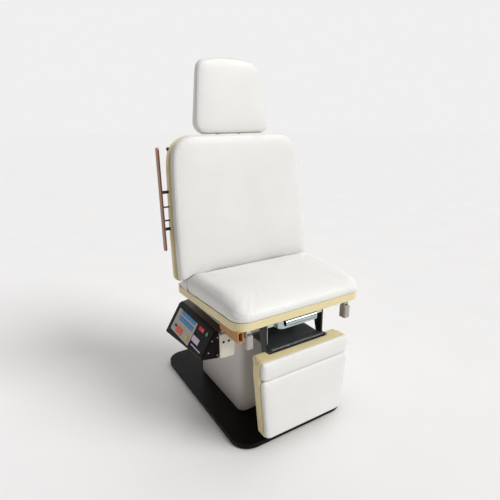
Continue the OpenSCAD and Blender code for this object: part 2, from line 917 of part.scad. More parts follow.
// Wedge-shaped console case with pockets for its buttons
module console_body() {
  near = [[0, 0], [0, -console_near_h], console_back_near, console_roof];
  far = [[0, 0], [0, -console_far_h], console_back_far, console_roof];
  R = [console_corner, console_corner, console_corner, console_corner];
  end_inset = console_corner * 0.4;
  color(dark_brown) difference() {
    at_panel() loft([
      [for (q = rounded(inset(far, end_inset), R, loft_n)) [q[0], console_length, q[1]]],
      [for (q = rounded(far, R, loft_n)) [q[0], console_length - end_inset, q[1]]],
      [for (q = rounded(near, R, loft_n)) [q[0], end_inset, q[1]]],
      [for (q = rounded(inset(near, end_inset), R, loft_n)) [q[0], 0, q[1]]]
    ]);
    at_panel() {
      pocket(yellow_at, yellow_r * 2, yellow_r * 2);
      pocket(orange_at, orange_size[0], orange_size[1]);
      pocket(red_at, red_size[0], red_size[1]);
    }
    red_pivot(red_pin_r + run_gap, red_size[1] / 2 + red_pin_reach + seat_gap);
  }
}

// Pocket in the case behind the panel, about the panel point at
module pocket(at, w, h) {
  translate([-over, at[0] - w / 2 - button_gap, -at[1] - h / 2 - button_gap])
    cube([pocket_depth + over, w + 2 * button_gap, h + 2 * button_gap]);
}

// Rectangle of the overlay, with openings for the buttons
module control_overlay() {
  color("#c9beb2") at_panel() difference() {
    translate([-overlay_t, 0, 0]) side_plate(
      box_corners(overlay_y[0], overlay_y[1], -overlay_z[1], -overlay_z[0]),
      [for (i = [0:3]) overlay_corner], 0, overlay_t);
    translate([-2 * overlay_t, 0, 0]) pocket(yellow_at, yellow_r * 2, yellow_r * 2);
    translate([-2 * overlay_t, 0, 0]) pocket(orange_at, orange_size[0], orange_size[1]);
  }
}

// Bare label plate and the thin bar under it
module label_plate() {
  color("#d8d4dc") at_panel() {
    for (r = [[label_at, label_size], [strip_at, strip_size]])
      translate([-overlay_t, r[0][0] - r[1][0] / 2, -r[0][1] - r[1][1] / 2])
        cube([overlay_t, r[1][0], r[1][1]]);
  }
}

module pilot_lamp() {
  color("#178a5a") at_panel() translate([-button_out, lamp_at[0], -lamp_at[1]])
    rotate([0, 90, 0]) cylinder(h = button_out, r = lamp_r);
}

// Two rows of five domed membrane keys on the overlay
module key_pad() {
  color("#2f8fd8") at_panel()
    for (row = [0, 1], col = [0:4])
      translate([-overlay_t - key_t, key_first[0] + col * key_pitch[0],
        -key_first[1] - row * key_pitch[1]])
        side_plate(box_corners(-key_size[0] / 2, key_size[0] / 2, -key_size[1] / 2,
          key_size[1] / 2), [for (i = [0:3]) 2], 0, key_t);
}

module yellow_button() {
  color("#e8c81c") at_panel() translate([-button_out, yellow_at[0], -yellow_at[1]])
    translate([0, -yellow_r, -yellow_r]) cube([button_out + button_in, 2 * yellow_r, 2 * yellow_r]);
}

module orange_button() {
  color("#d8562a") at_panel()
    translate([-button_out, orange_at[0] - orange_size[0] / 2, -orange_at[1] - orange_size[1] / 2])
    cube([button_out + button_in, orange_size[0], orange_size[1]]);
}

// Rocker: a shallow roof shape that turns about the panel's short direction
module red_rocker() {
  w = red_size[0];
  h = red_size[1];
  play = button_gap;
  color("#d22a30") at_panel() translate([0, red_at[0], -red_at[1] - h / 2]) linear_extrude(h)
    polygon([[-button_out, -w / 2 + play], [-button_out * 0.5, 0], [-button_out, w / 2 - play],
      [red_depth * 0.4, w / 2 - 2 * play], [red_depth, 0], [red_depth * 0.4, -w / 2 + 2 * play]]);
  color("#d22a30") red_pivot(red_pin_r, h / 2 + red_pin_reach);
}

// Round form on the rocker's axis, reaching half to each side of its middle
module red_pivot(r, half) {
  at_panel() translate([red_pin_depth, red_at[0], -red_at[1] - half])
    cylinder(h = 2 * half, r = r);
}

// Blocks on the seat shell's rear that carry the back's hinge pins
module back_hinge_blocks() {
  color(slate) at_seat() for (sx = [-1, 1]) difference() {
    side_plate([[hinge_y - hinge_block_half, seat_shell_t], [hinge_y + hinge_block_half,
      seat_shell_t], [hinge_y + hinge_boss_r, hinge_z + hinge_boss_r],
      [hinge_y - hinge_boss_r, hinge_z + hinge_boss_r]],
      [2, 2, hinge_boss_r * 0.9, hinge_boss_r * 0.9],
      sx > 0 ? hinge_block_in : -hinge_block_in - hinge_block_w,
      sx > 0 ? hinge_block_in + hinge_block_w : -hinge_block_in);
    translate([0, hinge_y, hinge_z])
      x_cyl(-2 * hinge_block_in, 2 * hinge_block_in, hinge_pin_r + run_gap);
  }
}

module back_hinge_pins() {
  color(steel) at_seat() translate([0, hinge_y, hinge_z]) for (sx = [-1, 1])
    translate([sx * (hinge_block_in + hinge_block_w / 2 - knuckle_w / 2), 0, 0])
      x_cyl(-(hinge_block_w + knuckle_w) / 2 - 2, (hinge_block_w + knuckle_w) / 2 + 2, hinge_pin_r);
}

// Steel pan in the back with the hinge knuckles and the actuator's lever
module back_frame() {
  plate_d = back_cushion_t;
  e = to_back(back_end[0], back_end[1]);
  color(slate) at_back() difference() {
    union() {
      translate([0, plate_d + back_plate_t, 0]) rotate([90, 0, 0])
        plate([[-back_plate_half, back_notch_top + 4], [back_plate_half, back_notch_top + 4],
          [back_plate_half - 30, back_plate_top], [30 - back_plate_half, back_plate_top]],
          [10, 10, 80, 80], back_plate_t);
      for (sx = [-1, 1]) {
        translate([0, hinge_in_back[0], hinge_in_back[1]])
          x_cyl(sx > 0 ? hinge_block_in - 1 - knuckle_w : -hinge_block_in + 1,
            sx > 0 ? hinge_block_in - 1 : -hinge_block_in + 1 + knuckle_w, knuckle_r);
        translate([sx > 0 ? hinge_block_in - 1 - knuckle_w : -hinge_block_in + 1,
          plate_d, hinge_in_back[1]])
          cube([knuckle_w, back_plate_t, back_notch_top + 20 - hinge_in_back[1]]);
      }
      translate([back_act_x - act_lug_t / 2, 0, 0])
        side_plate([[plate_d, back_notch_top + 14], [plate_d, hinge_in_back[1]],
          [e[0] - lug_r, e[1] - lug_r], [e[0] + lug_r, e[1] - lug_r],
          [e[0] + lug_r, e[1] + lug_r], [plate_d + back_plate_t, back_notch_top + 14]],
          [1, 8, lug_r * 0.85, lug_r * 0.85, lug_r * 0.6, 1], 0, act_lug_t);
    }
    translate([0, hinge_in_back[0], hinge_in_back[1]])
      x_cyl(-hinge_block_in, hinge_block_in, hinge_pin_r + run_gap);
    translate([back_act_x, e[0], e[1]]) x_cyl(-act_lug_t, act_lug_t, eye_r);
  }
}

// Outline ring of the back at depth d, drawn in by i
function back_ring(d, i) =
  let (h = (back_length + back_drop) / 2)
  [for (q = drawn_in(rounded(back_corners, back_radii, loft_n), h - back_drop,
    back_half_bottom, h, i)) [q[0], d, q[1]]];

// Notch round the hinge at the back's lower end
module back_notch(d0, d1) {
  translate([-back_notch_half, d0, -back_drop - over])
    cube([2 * back_notch_half, d1 - d0, back_notch_top + back_drop + over]);
}

// Moulded rear shell of the back, a shallow tray round the steel pan
module back_shell() {
  rear = back_depth;
  t = back_cushion_t;
  color(cream) at_back() difference() {
    loft([back_ring(rear, back_edge + 4), back_ring(rear - back_edge * 0.4, 5),
      back_ring(rear - back_edge, 1), back_ring(t, 0)]);
    translate([0, t + back_plate_t + seat_gap, 0]) rotate([90, 0, 0])
      linear_extrude(back_plate_t + seat_gap + over)
      polygon([[-back_plate_half - 1, back_notch_top - 1], [back_plate_half + 1, back_notch_top - 1],
        [back_plate_half - 25, back_plate_top + 1], [25 - back_plate_half, back_plate_top + 1]]);
    back_notch(0, 2 * rear);
    translate([back_act_x - act_lug_t, 0, -back_drop])
      cube([2 * act_lug_t, 2 * rear, back_drop + 8]);
  }
}

// Depth of the back cushion's face behind the flat face plane at x, s
function back_crown(x, s) =
  6 * pow(abs(x) / back_half_bottom, 2.4) + 3 * pow(abs(s - back_length * 0.45) / back_length, 2) * 4;

module back_cushion() {
  t = back_cushion_t - seat_gap;
  steps = [[14, 1], [8, 0.82], [6, 0.6], [9, 0.4], [16, 0.22], [28, 0.1], [46, 0.03], [80, 0], [150, 0]];
  rings = [for (k = steps)
    [for (q = back_ring(0, k[0] + 6))
      let (c = back_crown(q[0], q[2])) [q[0], c + (t - c) * k[1], q[2]]]];
  color(vinyl) at_back() difference() {
    domed(rings, [0, 0, back_length * 0.45]);
    back_notch(0, 2 * back_depth);
  }
}

// Half width of the back shell at height s
function back_half(s) = lookup(s, [for (i = [0:3]) [back_corners[i][1], back_corners[i][0]]]);

// Flat accessory rail along the left side of the back
module side_rail() {
  length = side_rail_s[1] - side_rail_s[0];
  lean = atan((side_rail_x[0] - side_rail_x[1]) / length);
  color(steel) at_back() translate([-side_rail_x[0], side_rail_depth, side_rail_s[0]])
    rotate([0, lean, 0]) side_plate(
      box_corners(-side_rail_w / 2, side_rail_w / 2, 0, length),
      [for (i = [0:3]) side_rail_w * 0.3], -side_rail_t / 2, side_rail_t / 2);
}

// X of the rail's inner face at height s
function rail_inner(s) =
  side_rail_t / 2 - side_rail_x[0]
  + (side_rail_x[0] - side_rail_x[1]) * (s - side_rail_s[0]) / (side_rail_s[1] - side_rail_s[0]);

// Spacers and studs between the back shell and the side rail
module rail_spacers() {
  color("#1c1c1c") at_back() {
    for (s = spacer_at) translate([0, side_rail_depth, s])
      x_cyl(rail_inner(s) + seat_gap, -back_half(s) - seat_gap, spacer_r);
    for (s = stud_at) translate([0, side_rail_depth, s])
      x_cyl(rail_inner(s) + seat_gap, -back_half(s) - seat_gap, stud_r);
  }
}

// Guide block on the rear of the back shell with two bores for the posts
module headrest_guide() {
  d0 = back_depth;
  d1 = headrest_axis_d + head_knuckle_r + 4;
  color(dark_brown) at_back() difference() {
    translate([-guide_block[0], d0, guide_block_s])
      cube([2 * guide_block[0], d1 - d0, guide_block[1]]);
    for (sx = [-1, 1]) translate([sx * post_x, headrest_axis_d, guide_block_s - over])
      cylinder(h = guide_block[1] + 2 * over, r = post_r + run_gap);
  }
}

// Posts with the hinge tube of the headrest on their heads
module headrest_posts() {
  color(steel) at_back() difference() {
    union() {
      for (sx = [-1, 1]) translate([sx * post_x, headrest_axis_d, post_bottom])
        cylinder(h = headrest_axis_s - post_bottom, r = post_r);
      translate([0, headrest_axis_d, headrest_axis_s])
        x_cyl(-head_knuckle_half, head_knuckle_half, head_knuckle_r);
    }
    translate([0, headrest_axis_d, headrest_axis_s])
      x_cyl(-2 * head_knuckle_half, 2 * head_knuckle_half, head_pin_r + run_gap);
  }
}

function headrest_ring(d, i) =
  [for (q = drawn_in(rounded(headrest_corners, headrest_radii, loft_n), headrest_length / 2,
    headrest_half, headrest_length / 2, i)) [q[0], d, q[1] + headrest_s]];

// Rear shell of the headrest with two lugs and the hinge pin
module headrest_shell() {
  d0 = headrest_face + headrest_cushion_t;
  d1 = d0 + headrest_shell_t;
  color(cream) at_back() {
    loft([headrest_ring(d1, 12), headrest_ring(d1 - 8, 2), headrest_ring(d0, 0)]);
    for (sx = [-1, 1]) translate([sx > 0 ? head_knuckle_half + seat_gap
      : -head_knuckle_half - seat_gap - head_lug_t, 0, headrest_axis_s])
      side_plate([[d1 - over, -head_knuckle_r * 2], [headrest_axis_d + head_knuckle_r,
        -head_knuckle_r], [headrest_axis_d + head_knuckle_r, head_knuckle_r],
        [d1 - over, head_knuckle_r * 2]], [1, 8, 8, 1], 0, head_lug_t);
    translate([0, headrest_axis_d, headrest_axis_s])
      x_cyl(-head_knuckle_half - head_lug_t, head_knuckle_half + head_lug_t, head_pin_r);
  }
}

module headrest_cushion() {
  t = headrest_face + headrest_cushion_t - seat_gap;
  steps = [[8, 1], [2, 0.75], [3, 0.5], [9, 0.26], [20, 0.1], [40, 0.02], [80, 0]];
  rings = [for (k = steps)
    [for (q = headrest_ring(0, k[0]))
      let (c = headrest_face + 5 * pow(abs(q[0]) / headrest_half, 2))
      [q[0], c + (t - c) * k[1], q[2]]]];
  color(vinyl) at_back() domed(rings, [0, headrest_face, headrest_s + headrest_length / 2]);
}

// Arms that hang the foot section from its hinge, with the actuator's lever on the right one
module foot_frame() {
  e = foot_end;
  color("#17181a") at_seat() difference() {
    union() {
      for (sx = [-1, 1]) translate([sx > 0 ? foot_arm_in : -foot_arm_in - foot_arm_t, 0, 0])
        side_plate([[foot_arm_front, foot_axis_z + foot_hub_r], [foot_arm_front, foot_top],
          [foot_shell_rear + seat_gap, foot_top], [foot_shell_rear + seat_gap, foot_top - foot_arm_drop],
          [foot_shell_rear + foot_arm_w, foot_top - foot_arm_drop],
          [foot_axis_y + foot_hub_r, foot_top + foot_arm_w],
          [foot_axis_y + foot_hub_r, foot_axis_z + foot_hub_r]], [12, 4, 4, 4, 10, 20, 14],
          0, foot_arm_t);
      translate([foot_arm_in, 0, 0])
        side_plate([[foot_axis_y - 4, foot_axis_z], [e[0] - lug_r, e[1] - foot_lug_r],
          [e[0] + foot_lug_r, e[1] - foot_lug_r], [e[0] + foot_lug_r, e[1] + foot_lug_r],
          [foot_axis_y + 12, foot_axis_z + foot_hub_r]], [2, 12, 20, 20, 2], 0, foot_arm_t);
    }
    translate([0, foot_axis_y, foot_axis_z])
      x_cyl(-2 * rail_out, 2 * rail_out, foot_pin_r + run_gap);
    translate([foot_act_x, e[0], e[1]]) x_cyl(-act_lug_t, act_lug_t, foot_eye_r);
  }
}

// Slate board across the top and down the rear of the foot section
module foot_board() {
  color(slate) at_seat() {
    translate([-board_half, foot_shell_rear, foot_top - board_t])
      cube([2 * board_half, board_rear - foot_shell_rear, board_t]);
    translate([-board_half, foot_shell_rear + seat_gap, foot_top - board_drop])
      cube([2 * board_half, board_t, board_drop - board_t]);
  }
}

// Slate plate under the pan that carries on the board's line, hung from the front member
module guard_plate() {
  tab_z = -rail_h - front_cross_drop - cross_size;
  color(slate) at_seat() {
    translate([-guard_half, board_rear + guard_gap, foot_top - board_t])
      cube([2 * guard_half, front_cross_y + cross_size - board_rear - guard_gap, board_t]);
    for (sx = [-1, 1]) translate([sx * guard_tab_x - guard_tab_t / 2, front_cross_y,
      foot_top - board_t])
      cube([guard_tab_t, cross_size, tab_z - foot_top + board_t]);
  }
}

// Double bright strip along the board's front edge
module foot_strip() {
  color(steel) at_seat() for (k = [0, 1])
    translate([-strip_half, foot_shell_rear + k * (strip_w + strip_gap), foot_top])
      cube([2 * strip_half, strip_w, strip_w]);
}

function foot_ring(y, i) =
  [for (q = drawn_in(rounded(foot_corners, foot_radii, loft_n), -foot_length / 2, foot_half,
    foot_length / 2, i)) [q[0], y, q[1] + foot_top]];

// Moulded foot shell with its top recess and two rear horns
module foot_shell() {
  color(cream) at_seat() difference() {
    union() {
      loft([foot_ring(foot_shell_rear, 5), foot_ring(foot_shell_rear - 6, 0),
        foot_ring(foot_face_y, 0)]);
      for (x = [foot_recess_left - horn_w, foot_recess_right + foot_arm_t])
        translate([x, foot_shell_rear - 8, foot_top - horn_h])
        rotate([90, 0, 90]) plate([[0, 0], [8, 0], [8 + horn_depth, horn_h * 0.6],
          [8 + horn_depth, horn_h - 6], [0, horn_h - 6]], [0.5, 4, 8, 8, 0.5], horn_w);
    }
    translate([foot_recess_left, foot_recess_y, foot_top - foot_recess_h])
      cube([foot_recess_right - foot_recess_left, 2 * foot_shell_rear, foot_recess_h + over]);
  }
}

// Foot pads: z0 and z1 are measured down from the foot section's top
module foot_pad(z0, z1) {
  slope = foot_taper / (foot_length - 60);
  w0 = foot_half - pad_inset - max(0, z0 - 60) * slope;
  w1 = foot_half - pad_inset - max(0, z1 - 60) * slope;
  steps = [[5, 0], [1, 0.16], [0, 0.38], [2, 0.58], [7, 0.76], [15, 0.9], [26, 0.98], [34, 1]];
  P = mirrored([[w1, foot_top - z1], [w0, foot_top - z0]]);
  R = [24, 16, 16, 24];
  rings = [for (k = steps)
    [for (q = drawn_in(rounded(P, R, loft_n), foot_top - (z0 + z1) / 2, w0, (z1 - z0) / 2, k[0]))
      [q[0], foot_face_y - seat_gap - (pad_t - seat_gap) * k[1], q[1]]]];
  domed(rings, [0, foot_front, foot_top - (z0 + z1) / 2]);
}

module foot_upper_cushion() {
  color(vinyl) at_seat() foot_pad(3, pad_split - 1);
}
module foot_lower_cushion() {
  color(vinyl) at_seat() foot_pad(pad_split + 1, foot_length - 4);
}

// Stainless pan with flanged rims and a rolled front lip
module treatment_pan() {
  P = box_corners(-pan_half, pan_half, pan_y, pan_y + pan_len);
  R = [for (i = [0:3]) pan_corner];
  color(steel) at_seat() {
    translate([0, 0, pan_top - pan_depth]) difference() {
      plate(P, R, pan_depth);
      translate([0, 0, pan_wall])
        plate(inset(P, pan_wall), inset_radii(R, pan_wall), pan_depth);
    }
    for (sx = [-1, 1]) translate([sx > 0 ? pan_half - pan_wall : -pan_half - pan_flange,
      pan_y + pan_corner, pan_top - pan_wall])
      cube([pan_flange + pan_wall, pan_len - 2 * pan_corner, pan_wall]);
    translate([0, pan_y + pan_wall, pan_top - pan_lip_r]) rotate([0, 90, 0])
      translate([0, 0, pan_corner - pan_half])
      rotate_half_tube(pan_lip_r, 2 * (pan_half - pan_corner));
  }
}

// Half tube that opens rearward, a curled lip
module rotate_half_tube(r, h) {
  difference() {
    cylinder(h = h, r = r);
    translate([0, 0, -over]) cylinder(h = h + 2 * over, r = r - pan_wall);
    translate([-2 * r, 0, -over]) cube([4 * r, 2 * r, h + 2 * over]);
  }
}

// Stirrup bar with the eye and pin of its folding block
module stirrup_bar(sx) {
  color(steel) at_seat() translate([sx * stirrup_x, 0, 0]) {
    translate([-bar_size / 2, bar_front, -bar_drop - bar_size])
      cube([bar_size, bar_len, bar_size]);
    side_plate([[bar_front, -bar_drop - bar_size], [bar_front, stirrup_pin_z - stirrup_ear_r],
      [stirrup_pin_y + stirrup_ear_r, stirrup_pin_z - stirrup_ear_r],
      [stirrup_pin_y + stirrup_ear_r, -bar_drop - bar_size]], [0.5, 7, 7, 0.5],
      -bar_size / 2, bar_size / 2);
    translate([0, stirrup_pin_y, stirrup_pin_z])
      x_cyl(-bar_size / 2 - stirrup_ear_t, bar_size / 2 + stirrup_ear_t, stirrup_pin_r);
  }
}
module stirrup_bar_left() { stirrup_bar(-1); }
module stirrup_bar_right() { stirrup_bar(1); }

// Folding heel block that hangs from the bar's pin
module stirrup_block(sx) {
  color(block_grey) at_seat() translate([sx * stirrup_x, 0, 0]) difference() {
    union() {
      translate([0, block_y, block_top - block_h])
        soft_slab(box_corners(-block_w / 2, block_w / 2, 0, block_d),
          [for (i = [0:3]) block_corner], block_h, 4);
      for (s = [-1, 1]) translate([s > 0 ? bar_size / 2 + seat_gap
        : -bar_size / 2 - seat_gap - stirrup_ear_t, 0, 0])
        side_plate([[stirrup_pin_y - stirrup_ear_r, block_top - 4],
          [stirrup_pin_y + stirrup_ear_r, block_top - 4],
          [stirrup_pin_y + stirrup_ear_r, stirrup_pin_z + stirrup_ear_r],
          [stirrup_pin_y - stirrup_ear_r, stirrup_pin_z + stirrup_ear_r]],
          [0.5, 0.5, 7, 7], 0, stirrup_ear_t);
    }
    translate([0, stirrup_pin_y, stirrup_pin_z]) x_cyl(-block_w, block_w, stirrup_pin_r + run_gap);
  }
}
module stirrup_block_left() { stirrup_block(-1); }
module stirrup_block_right() { stirrup_block(1); }

base_plate();
levelling_feet();
base_cover();
mast_outer();
power_box();
mains_inlet();
mast_middle();
mast_inner();
lift_platform();
upper_shroud();
tilt_actuator_body();
tilt_actuator_rod();
seat_frame();
tilt_shaft();
seat_shell();
seat_cushion();
receiver_housing();
stirrup_guides();
pan_runners();
guard_plate();
console_bracket();
console_body();
control_overlay();
label_plate();
pilot_lamp();
key_pad();
back_hinge_blocks();
back_hinge_pins();
back_actuator_body();
back_actuator_rod();
foot_actuator_body();
foot_actuator_rod();
back_frame();
back_shell();
back_cushion();
side_rail();
rail_spacers();
headrest_guide();
headrest_posts();
headrest_shell();
headrest_cushion();
foot_frame();
foot_board();
foot_strip();
foot_shell();
foot_upper_cushion();
foot_lower_cushion();
treatment_pan();
stirrup_bar_left();
stirrup_bar_right();
stirrup_block_left();
stirrup_block_right();
yellow_button();
orange_button();
red_rocker();
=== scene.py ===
import math

import bpy
import numpy as np
from mathutils import Matrix, Vector
from mathutils.bvhtree import BVHTree


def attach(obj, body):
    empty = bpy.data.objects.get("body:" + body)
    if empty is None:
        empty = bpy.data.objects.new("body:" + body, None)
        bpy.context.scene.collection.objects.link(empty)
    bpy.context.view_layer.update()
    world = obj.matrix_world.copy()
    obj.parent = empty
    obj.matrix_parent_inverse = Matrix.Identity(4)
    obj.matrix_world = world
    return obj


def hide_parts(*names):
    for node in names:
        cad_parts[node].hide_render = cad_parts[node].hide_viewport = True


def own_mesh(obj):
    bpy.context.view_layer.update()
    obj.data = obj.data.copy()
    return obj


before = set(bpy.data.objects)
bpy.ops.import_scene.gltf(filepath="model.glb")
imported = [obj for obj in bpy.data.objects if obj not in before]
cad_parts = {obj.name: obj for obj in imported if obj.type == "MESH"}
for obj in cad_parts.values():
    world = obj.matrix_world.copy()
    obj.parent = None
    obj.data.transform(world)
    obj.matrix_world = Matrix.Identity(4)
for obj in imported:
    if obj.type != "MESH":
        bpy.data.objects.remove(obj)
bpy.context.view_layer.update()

MM = 0.001

# Sizes that the CAD model is built from, in millimetres
SEAT_REACH = 467
SEAT_HEIGHT = 600
CREASE = (437, 125)
RECLINE = math.radians(8.24)
SHELL_TOP = 34
PANEL_TILT = math.radians(31.3)
PANEL_CORNER = (-344, 170, -68)


def seat_point(x, y, z):
    """A point of the seat frame, in millimetres, in the row frame in metres."""
    return Vector((x, y - SEAT_REACH, z + SEAT_HEIGHT)) * MM


def back_point(x, depth, up):
    """A point of the back: depth rearward from its face, up from the crease."""
    c, s = math.cos(RECLINE), math.sin(RECLINE)
    return seat_point(x, CREASE[0] + depth * c + up * s, CREASE[1] - depth * s + up * c)


# Camera
EYE = Vector((-1.0080, -1.6849, 1.3644))
YAW, PITCH, ROLL = (math.radians(a) for a in (-31.35, 17.09, -0.62))
FOCAL_SHARE = 412.4 / 500


def make_camera():
    back = Vector((math.sin(YAW) * math.cos(PITCH), -math.cos(YAW) * math.cos(PITCH),
                   math.sin(PITCH)))
    right = (-back).cross(Vector((0, 0, 1))).normalized()
    up = right.cross(-back)
    r = right * math.cos(ROLL) + up * math.sin(ROLL)
    u = up * math.cos(ROLL) - right * math.sin(ROLL)
    data = bpy.data.cameras.new("camera")
    data.sensor_width = 36
    data.lens = FOCAL_SHARE * data.sensor_width
    data.clip_end = 100
    cam = bpy.data.objects.new("camera", data)
    bpy.context.scene.collection.objects.link(cam)
    turn = Matrix((r, u, back)).transposed().to_4x4()
    cam.matrix_world = Matrix.Translation(EYE) @ turn
    bpy.context.scene.camera = cam


# Studio: where the world is pale, its two colours and the span of its falling off
LIGHT_SIDE = Vector((0.50, 0.80, 0.05))
BACKDROP = (0.87, 0.87, 0.87)
SHADE_SIDE = (0.13, 0.112, 0.107)
SHADE_SPAN = (-0.15, 0.70)
# Each sun's name, the way to it, its strength and its spread in degrees
SUNS = (("key", (0.75, -1.0, 1.0), 2.25, 30),
        ("top", (0.1, -0.2, 1.0), 0.55, 60))
FLOOR_HALF = 60
FLOOR_COLOUR = (0.86, 0.86, 0.86)


def make_world():
    """A pale backdrop ahead of the camera that falls off to a dim room behind it."""
    world = bpy.data.worlds.new("studio")
    world.use_nodes = True
    tree = world.node_tree
    sky = tree.nodes["Background"]
    place = tree.nodes.new("ShaderNodeTexCoord")
    toward = tree.nodes.new("ShaderNodeVectorMath")
    toward.operation = "DOT_PRODUCT"
    toward.inputs[1].default_value = LIGHT_SIDE.normalized()
    fall = tree.nodes.new("ShaderNodeMapRange")
    fall.interpolation_type = "SMOOTHSTEP"
    fall.inputs["From Min"].default_value, fall.inputs["From Max"].default_value = SHADE_SPAN
    blend = tree.nodes.new("ShaderNodeMix")
    blend.data_type = "RGBA"
    colours = [i for i in blend.inputs if i.type == "RGBA"]
    colours[0].default_value = (*SHADE_SIDE, 1)
    colours[1].default_value = (*BACKDROP, 1)
    tree.links.new(place.outputs["Generated"], toward.inputs[0])
    tree.links.new(toward.outputs["Value"], fall.inputs["Value"])
    tree.links.new(fall.outputs["Result"], blend.inputs["Factor"])
    tree.links.new([o for o in blend.outputs if o.type == "RGBA"][0], sky.inputs["Color"])
    bpy.context.scene.world = world


def sun(name, come_from, strength, spread):
    """A wide soft light from one side, even over the whole floor."""
    data = bpy.data.lights.new(name, "SUN")
    data.energy = strength
    data.angle = math.radians(spread)
    lamp = bpy.data.objects.new(name, data)
    bpy.context.scene.collection.objects.link(lamp)
    lamp.rotation_euler = (-Vector(come_from)).to_track_quat("-Z", "Y").to_euler()


def make_studio():
    make_world()
    for values in SUNS:
        sun(*values)
    mesh = bpy.data.meshes.new("floor")
    half = FLOOR_HALF
    mesh.from_pydata([(-half, -half, 0), (half, -half, 0), (half, half, 0), (-half, half, 0)],
                     [], [(0, 1, 2, 3)])
    floor = bpy.data.objects.new("floor", mesh)
    bpy.context.scene.collection.objects.link(floor)
    look = Look("studio_floor", FLOOR_COLOUR, 0.8)
    look.tint(look.noise(2.5, 3), 0.01)
    mesh.materials.append(look.done())
    bpy.context.scene.view_settings.view_transform = "Standard"


# Materials
def linear(code):
    """Linear colour of a hexadecimal screen colour."""
    out = []
    for k in (1, 3, 5):
        v = int(code[k:k + 2], 16) / 255
        out.append(v / 12.92 if v <= 0.04045 else ((v + 0.055) / 1.055) ** 2.4)
    return tuple(out)


class Look:
    """One node material in the making. Scales are per metre, depths in metres."""

    def __init__(self, name, colour, rough, metal=0.0):
        if isinstance(colour, str):
            colour = linear(colour)
        self.name, self.colour, self.rough = name, colour, rough
        self.mat = bpy.data.materials.new(name)
        self.mat.use_nodes = True
        self.tree = self.mat.node_tree
        self.tree.nodes.clear()
        out = self.tree.nodes.new("ShaderNodeOutputMaterial")
        self.bsdf = self.tree.nodes.new("ShaderNodeBsdfPrincipled")
        self.tree.links.new(self.bsdf.outputs[0], out.inputs[0])
        self.bsdf.inputs["Base Color"].default_value = (*colour, 1)
        self.bsdf.inputs["Roughness"].default_value = rough
        self.bsdf.inputs["Metallic"].default_value = metal
        self.place = self.tree.nodes.new("ShaderNodeTexCoord").outputs["Object"]
        self.base = None
        self.shine = None
        self.normal = None

    def set(self, name, value):
        self.bsdf.inputs[name].default_value = value
        return self

    def stretched(self, scale):
        node = self.tree.nodes.new("ShaderNodeMapping")
        node.inputs["Scale"].default_value = scale
        self.tree.links.new(self.place, node.inputs["Vector"])
        return node.outputs["Vector"]

    def noise(self, scale, detail, place=None):
        node = self.tree.nodes.new("ShaderNodeTexNoise")
        node.inputs["Scale"].default_value = scale
        node.inputs["Detail"].default_value = detail
        self.tree.links.new(place or self.place, node.inputs["Vector"])
        return node.outputs["Fac"]

    def cells(self, scale, feature="F1"):
        node = self.tree.nodes.new("ShaderNodeTexVoronoi")
        node.feature = feature
        node.inputs["Scale"].default_value = scale
        self.tree.links.new(self.place, node.inputs["Vector"])
        return node.outputs["Distance"]

    def ramp(self, fac, low, high, a, b):
        """Maps fac from low..high to a..b."""
        node = self.tree.nodes.new("ShaderNodeMapRange")
        for key, value in zip(("From Min", "From Max", "To Min", "To Max"), (low, high, a, b)):
            node.inputs[key].default_value = value
        self.tree.links.new(fac, node.inputs["Value"])
        return node.outputs["Result"]

    def mix(self, fac, a, b):
        node = self.tree.nodes.new("ShaderNodeMix")
        node.data_type = "RGBA"
        self.tree.links.new(fac, node.inputs["Factor"])
        for key, value in (("A", a), ("B", b)):
            socket = [s for s in node.inputs if s.name == key and s.type == "RGBA"][0]
            if isinstance(value, tuple):
                socket.default_value = (*value, 1)
            else:
                self.tree.links.new(value, socket)
        return [s for s in node.outputs if s.type == "RGBA"][0]

    def tint(self, fac, amount, low=0.3, high=0.7):
        """Varies the base colour by a share of itself, darker to lighter."""
        a = tuple(c * (1 - amount) for c in self.colour)
        b = tuple(min(1, c * (1 + amount)) for c in self.colour)
        self.base = self.mix(self.ramp(fac, low, high, 0, 1), a, b)
        return self

    def over(self, fac, colour):
        """Lays another colour over the base where fac is 1."""
        self.base = self.mix(fac, self.base or self.colour, colour)
        return self

    def gloss(self, fac, spread, low=0.3, high=0.7):
        self.shine = self.ramp(fac, low, high, self.rough - spread, self.rough + spread)
        return self

    def bump(self, height, depth, strength=1.0):
        node = self.tree.nodes.new("ShaderNodeBump")
        node.inputs["Distance"].default_value = depth
        node.inputs["Strength"].default_value = strength
        self.tree.links.new(height, node.inputs["Height"])
        if self.normal:
            self.tree.links.new(self.normal, node.inputs["Normal"])
        self.normal = node.outputs["Normal"]
        return self

    def soft_edges(self, radius):
        node = self.tree.nodes.new("ShaderNodeBevel")
        node.samples = 4
        node.inputs["Radius"].default_value = radius
        if self.normal:
            self.tree.links.new(self.normal, node.inputs["Normal"])
        self.normal = node.outputs["Normal"]
        return self

    def done(self):
        for value, key in ((self.base, "Base Color"), (self.shine, "Roughness"),
                           (self.normal, "Normal")):
            if value:
                self.tree.links.new(value, self.bsdf.inputs[key])
        return self.mat


def moulded(name, colour, rough, grain=900.0, edge=0.0012):
    """Moulded plastic with a fine spark-eroded grain."""
    look = Look(name, colour, rough)
    look.soft_edges(edge)
    look.tint(look.noise(9, 4), 0.03)
    look.gloss(look.noise(35, 4), 0.05)
    return look.bump(look.noise(grain, 2), 0.00012, 0.6)


def painted(name, colour, rough, peel=260.0):
    """Powder coat with orange peel, dulled and dusty in patches."""
    look = Look(name, colour, rough)
    look.soft_edges(0.0008)
    look.tint(look.noise(14, 5), 0.12)
    look.gloss(look.noise(22, 5), 0.08)
    look.bump(look.cells(peel), 0.00012, 0.5)
    return look.bump(look.noise(1400, 2), 0.00005, 0.5)


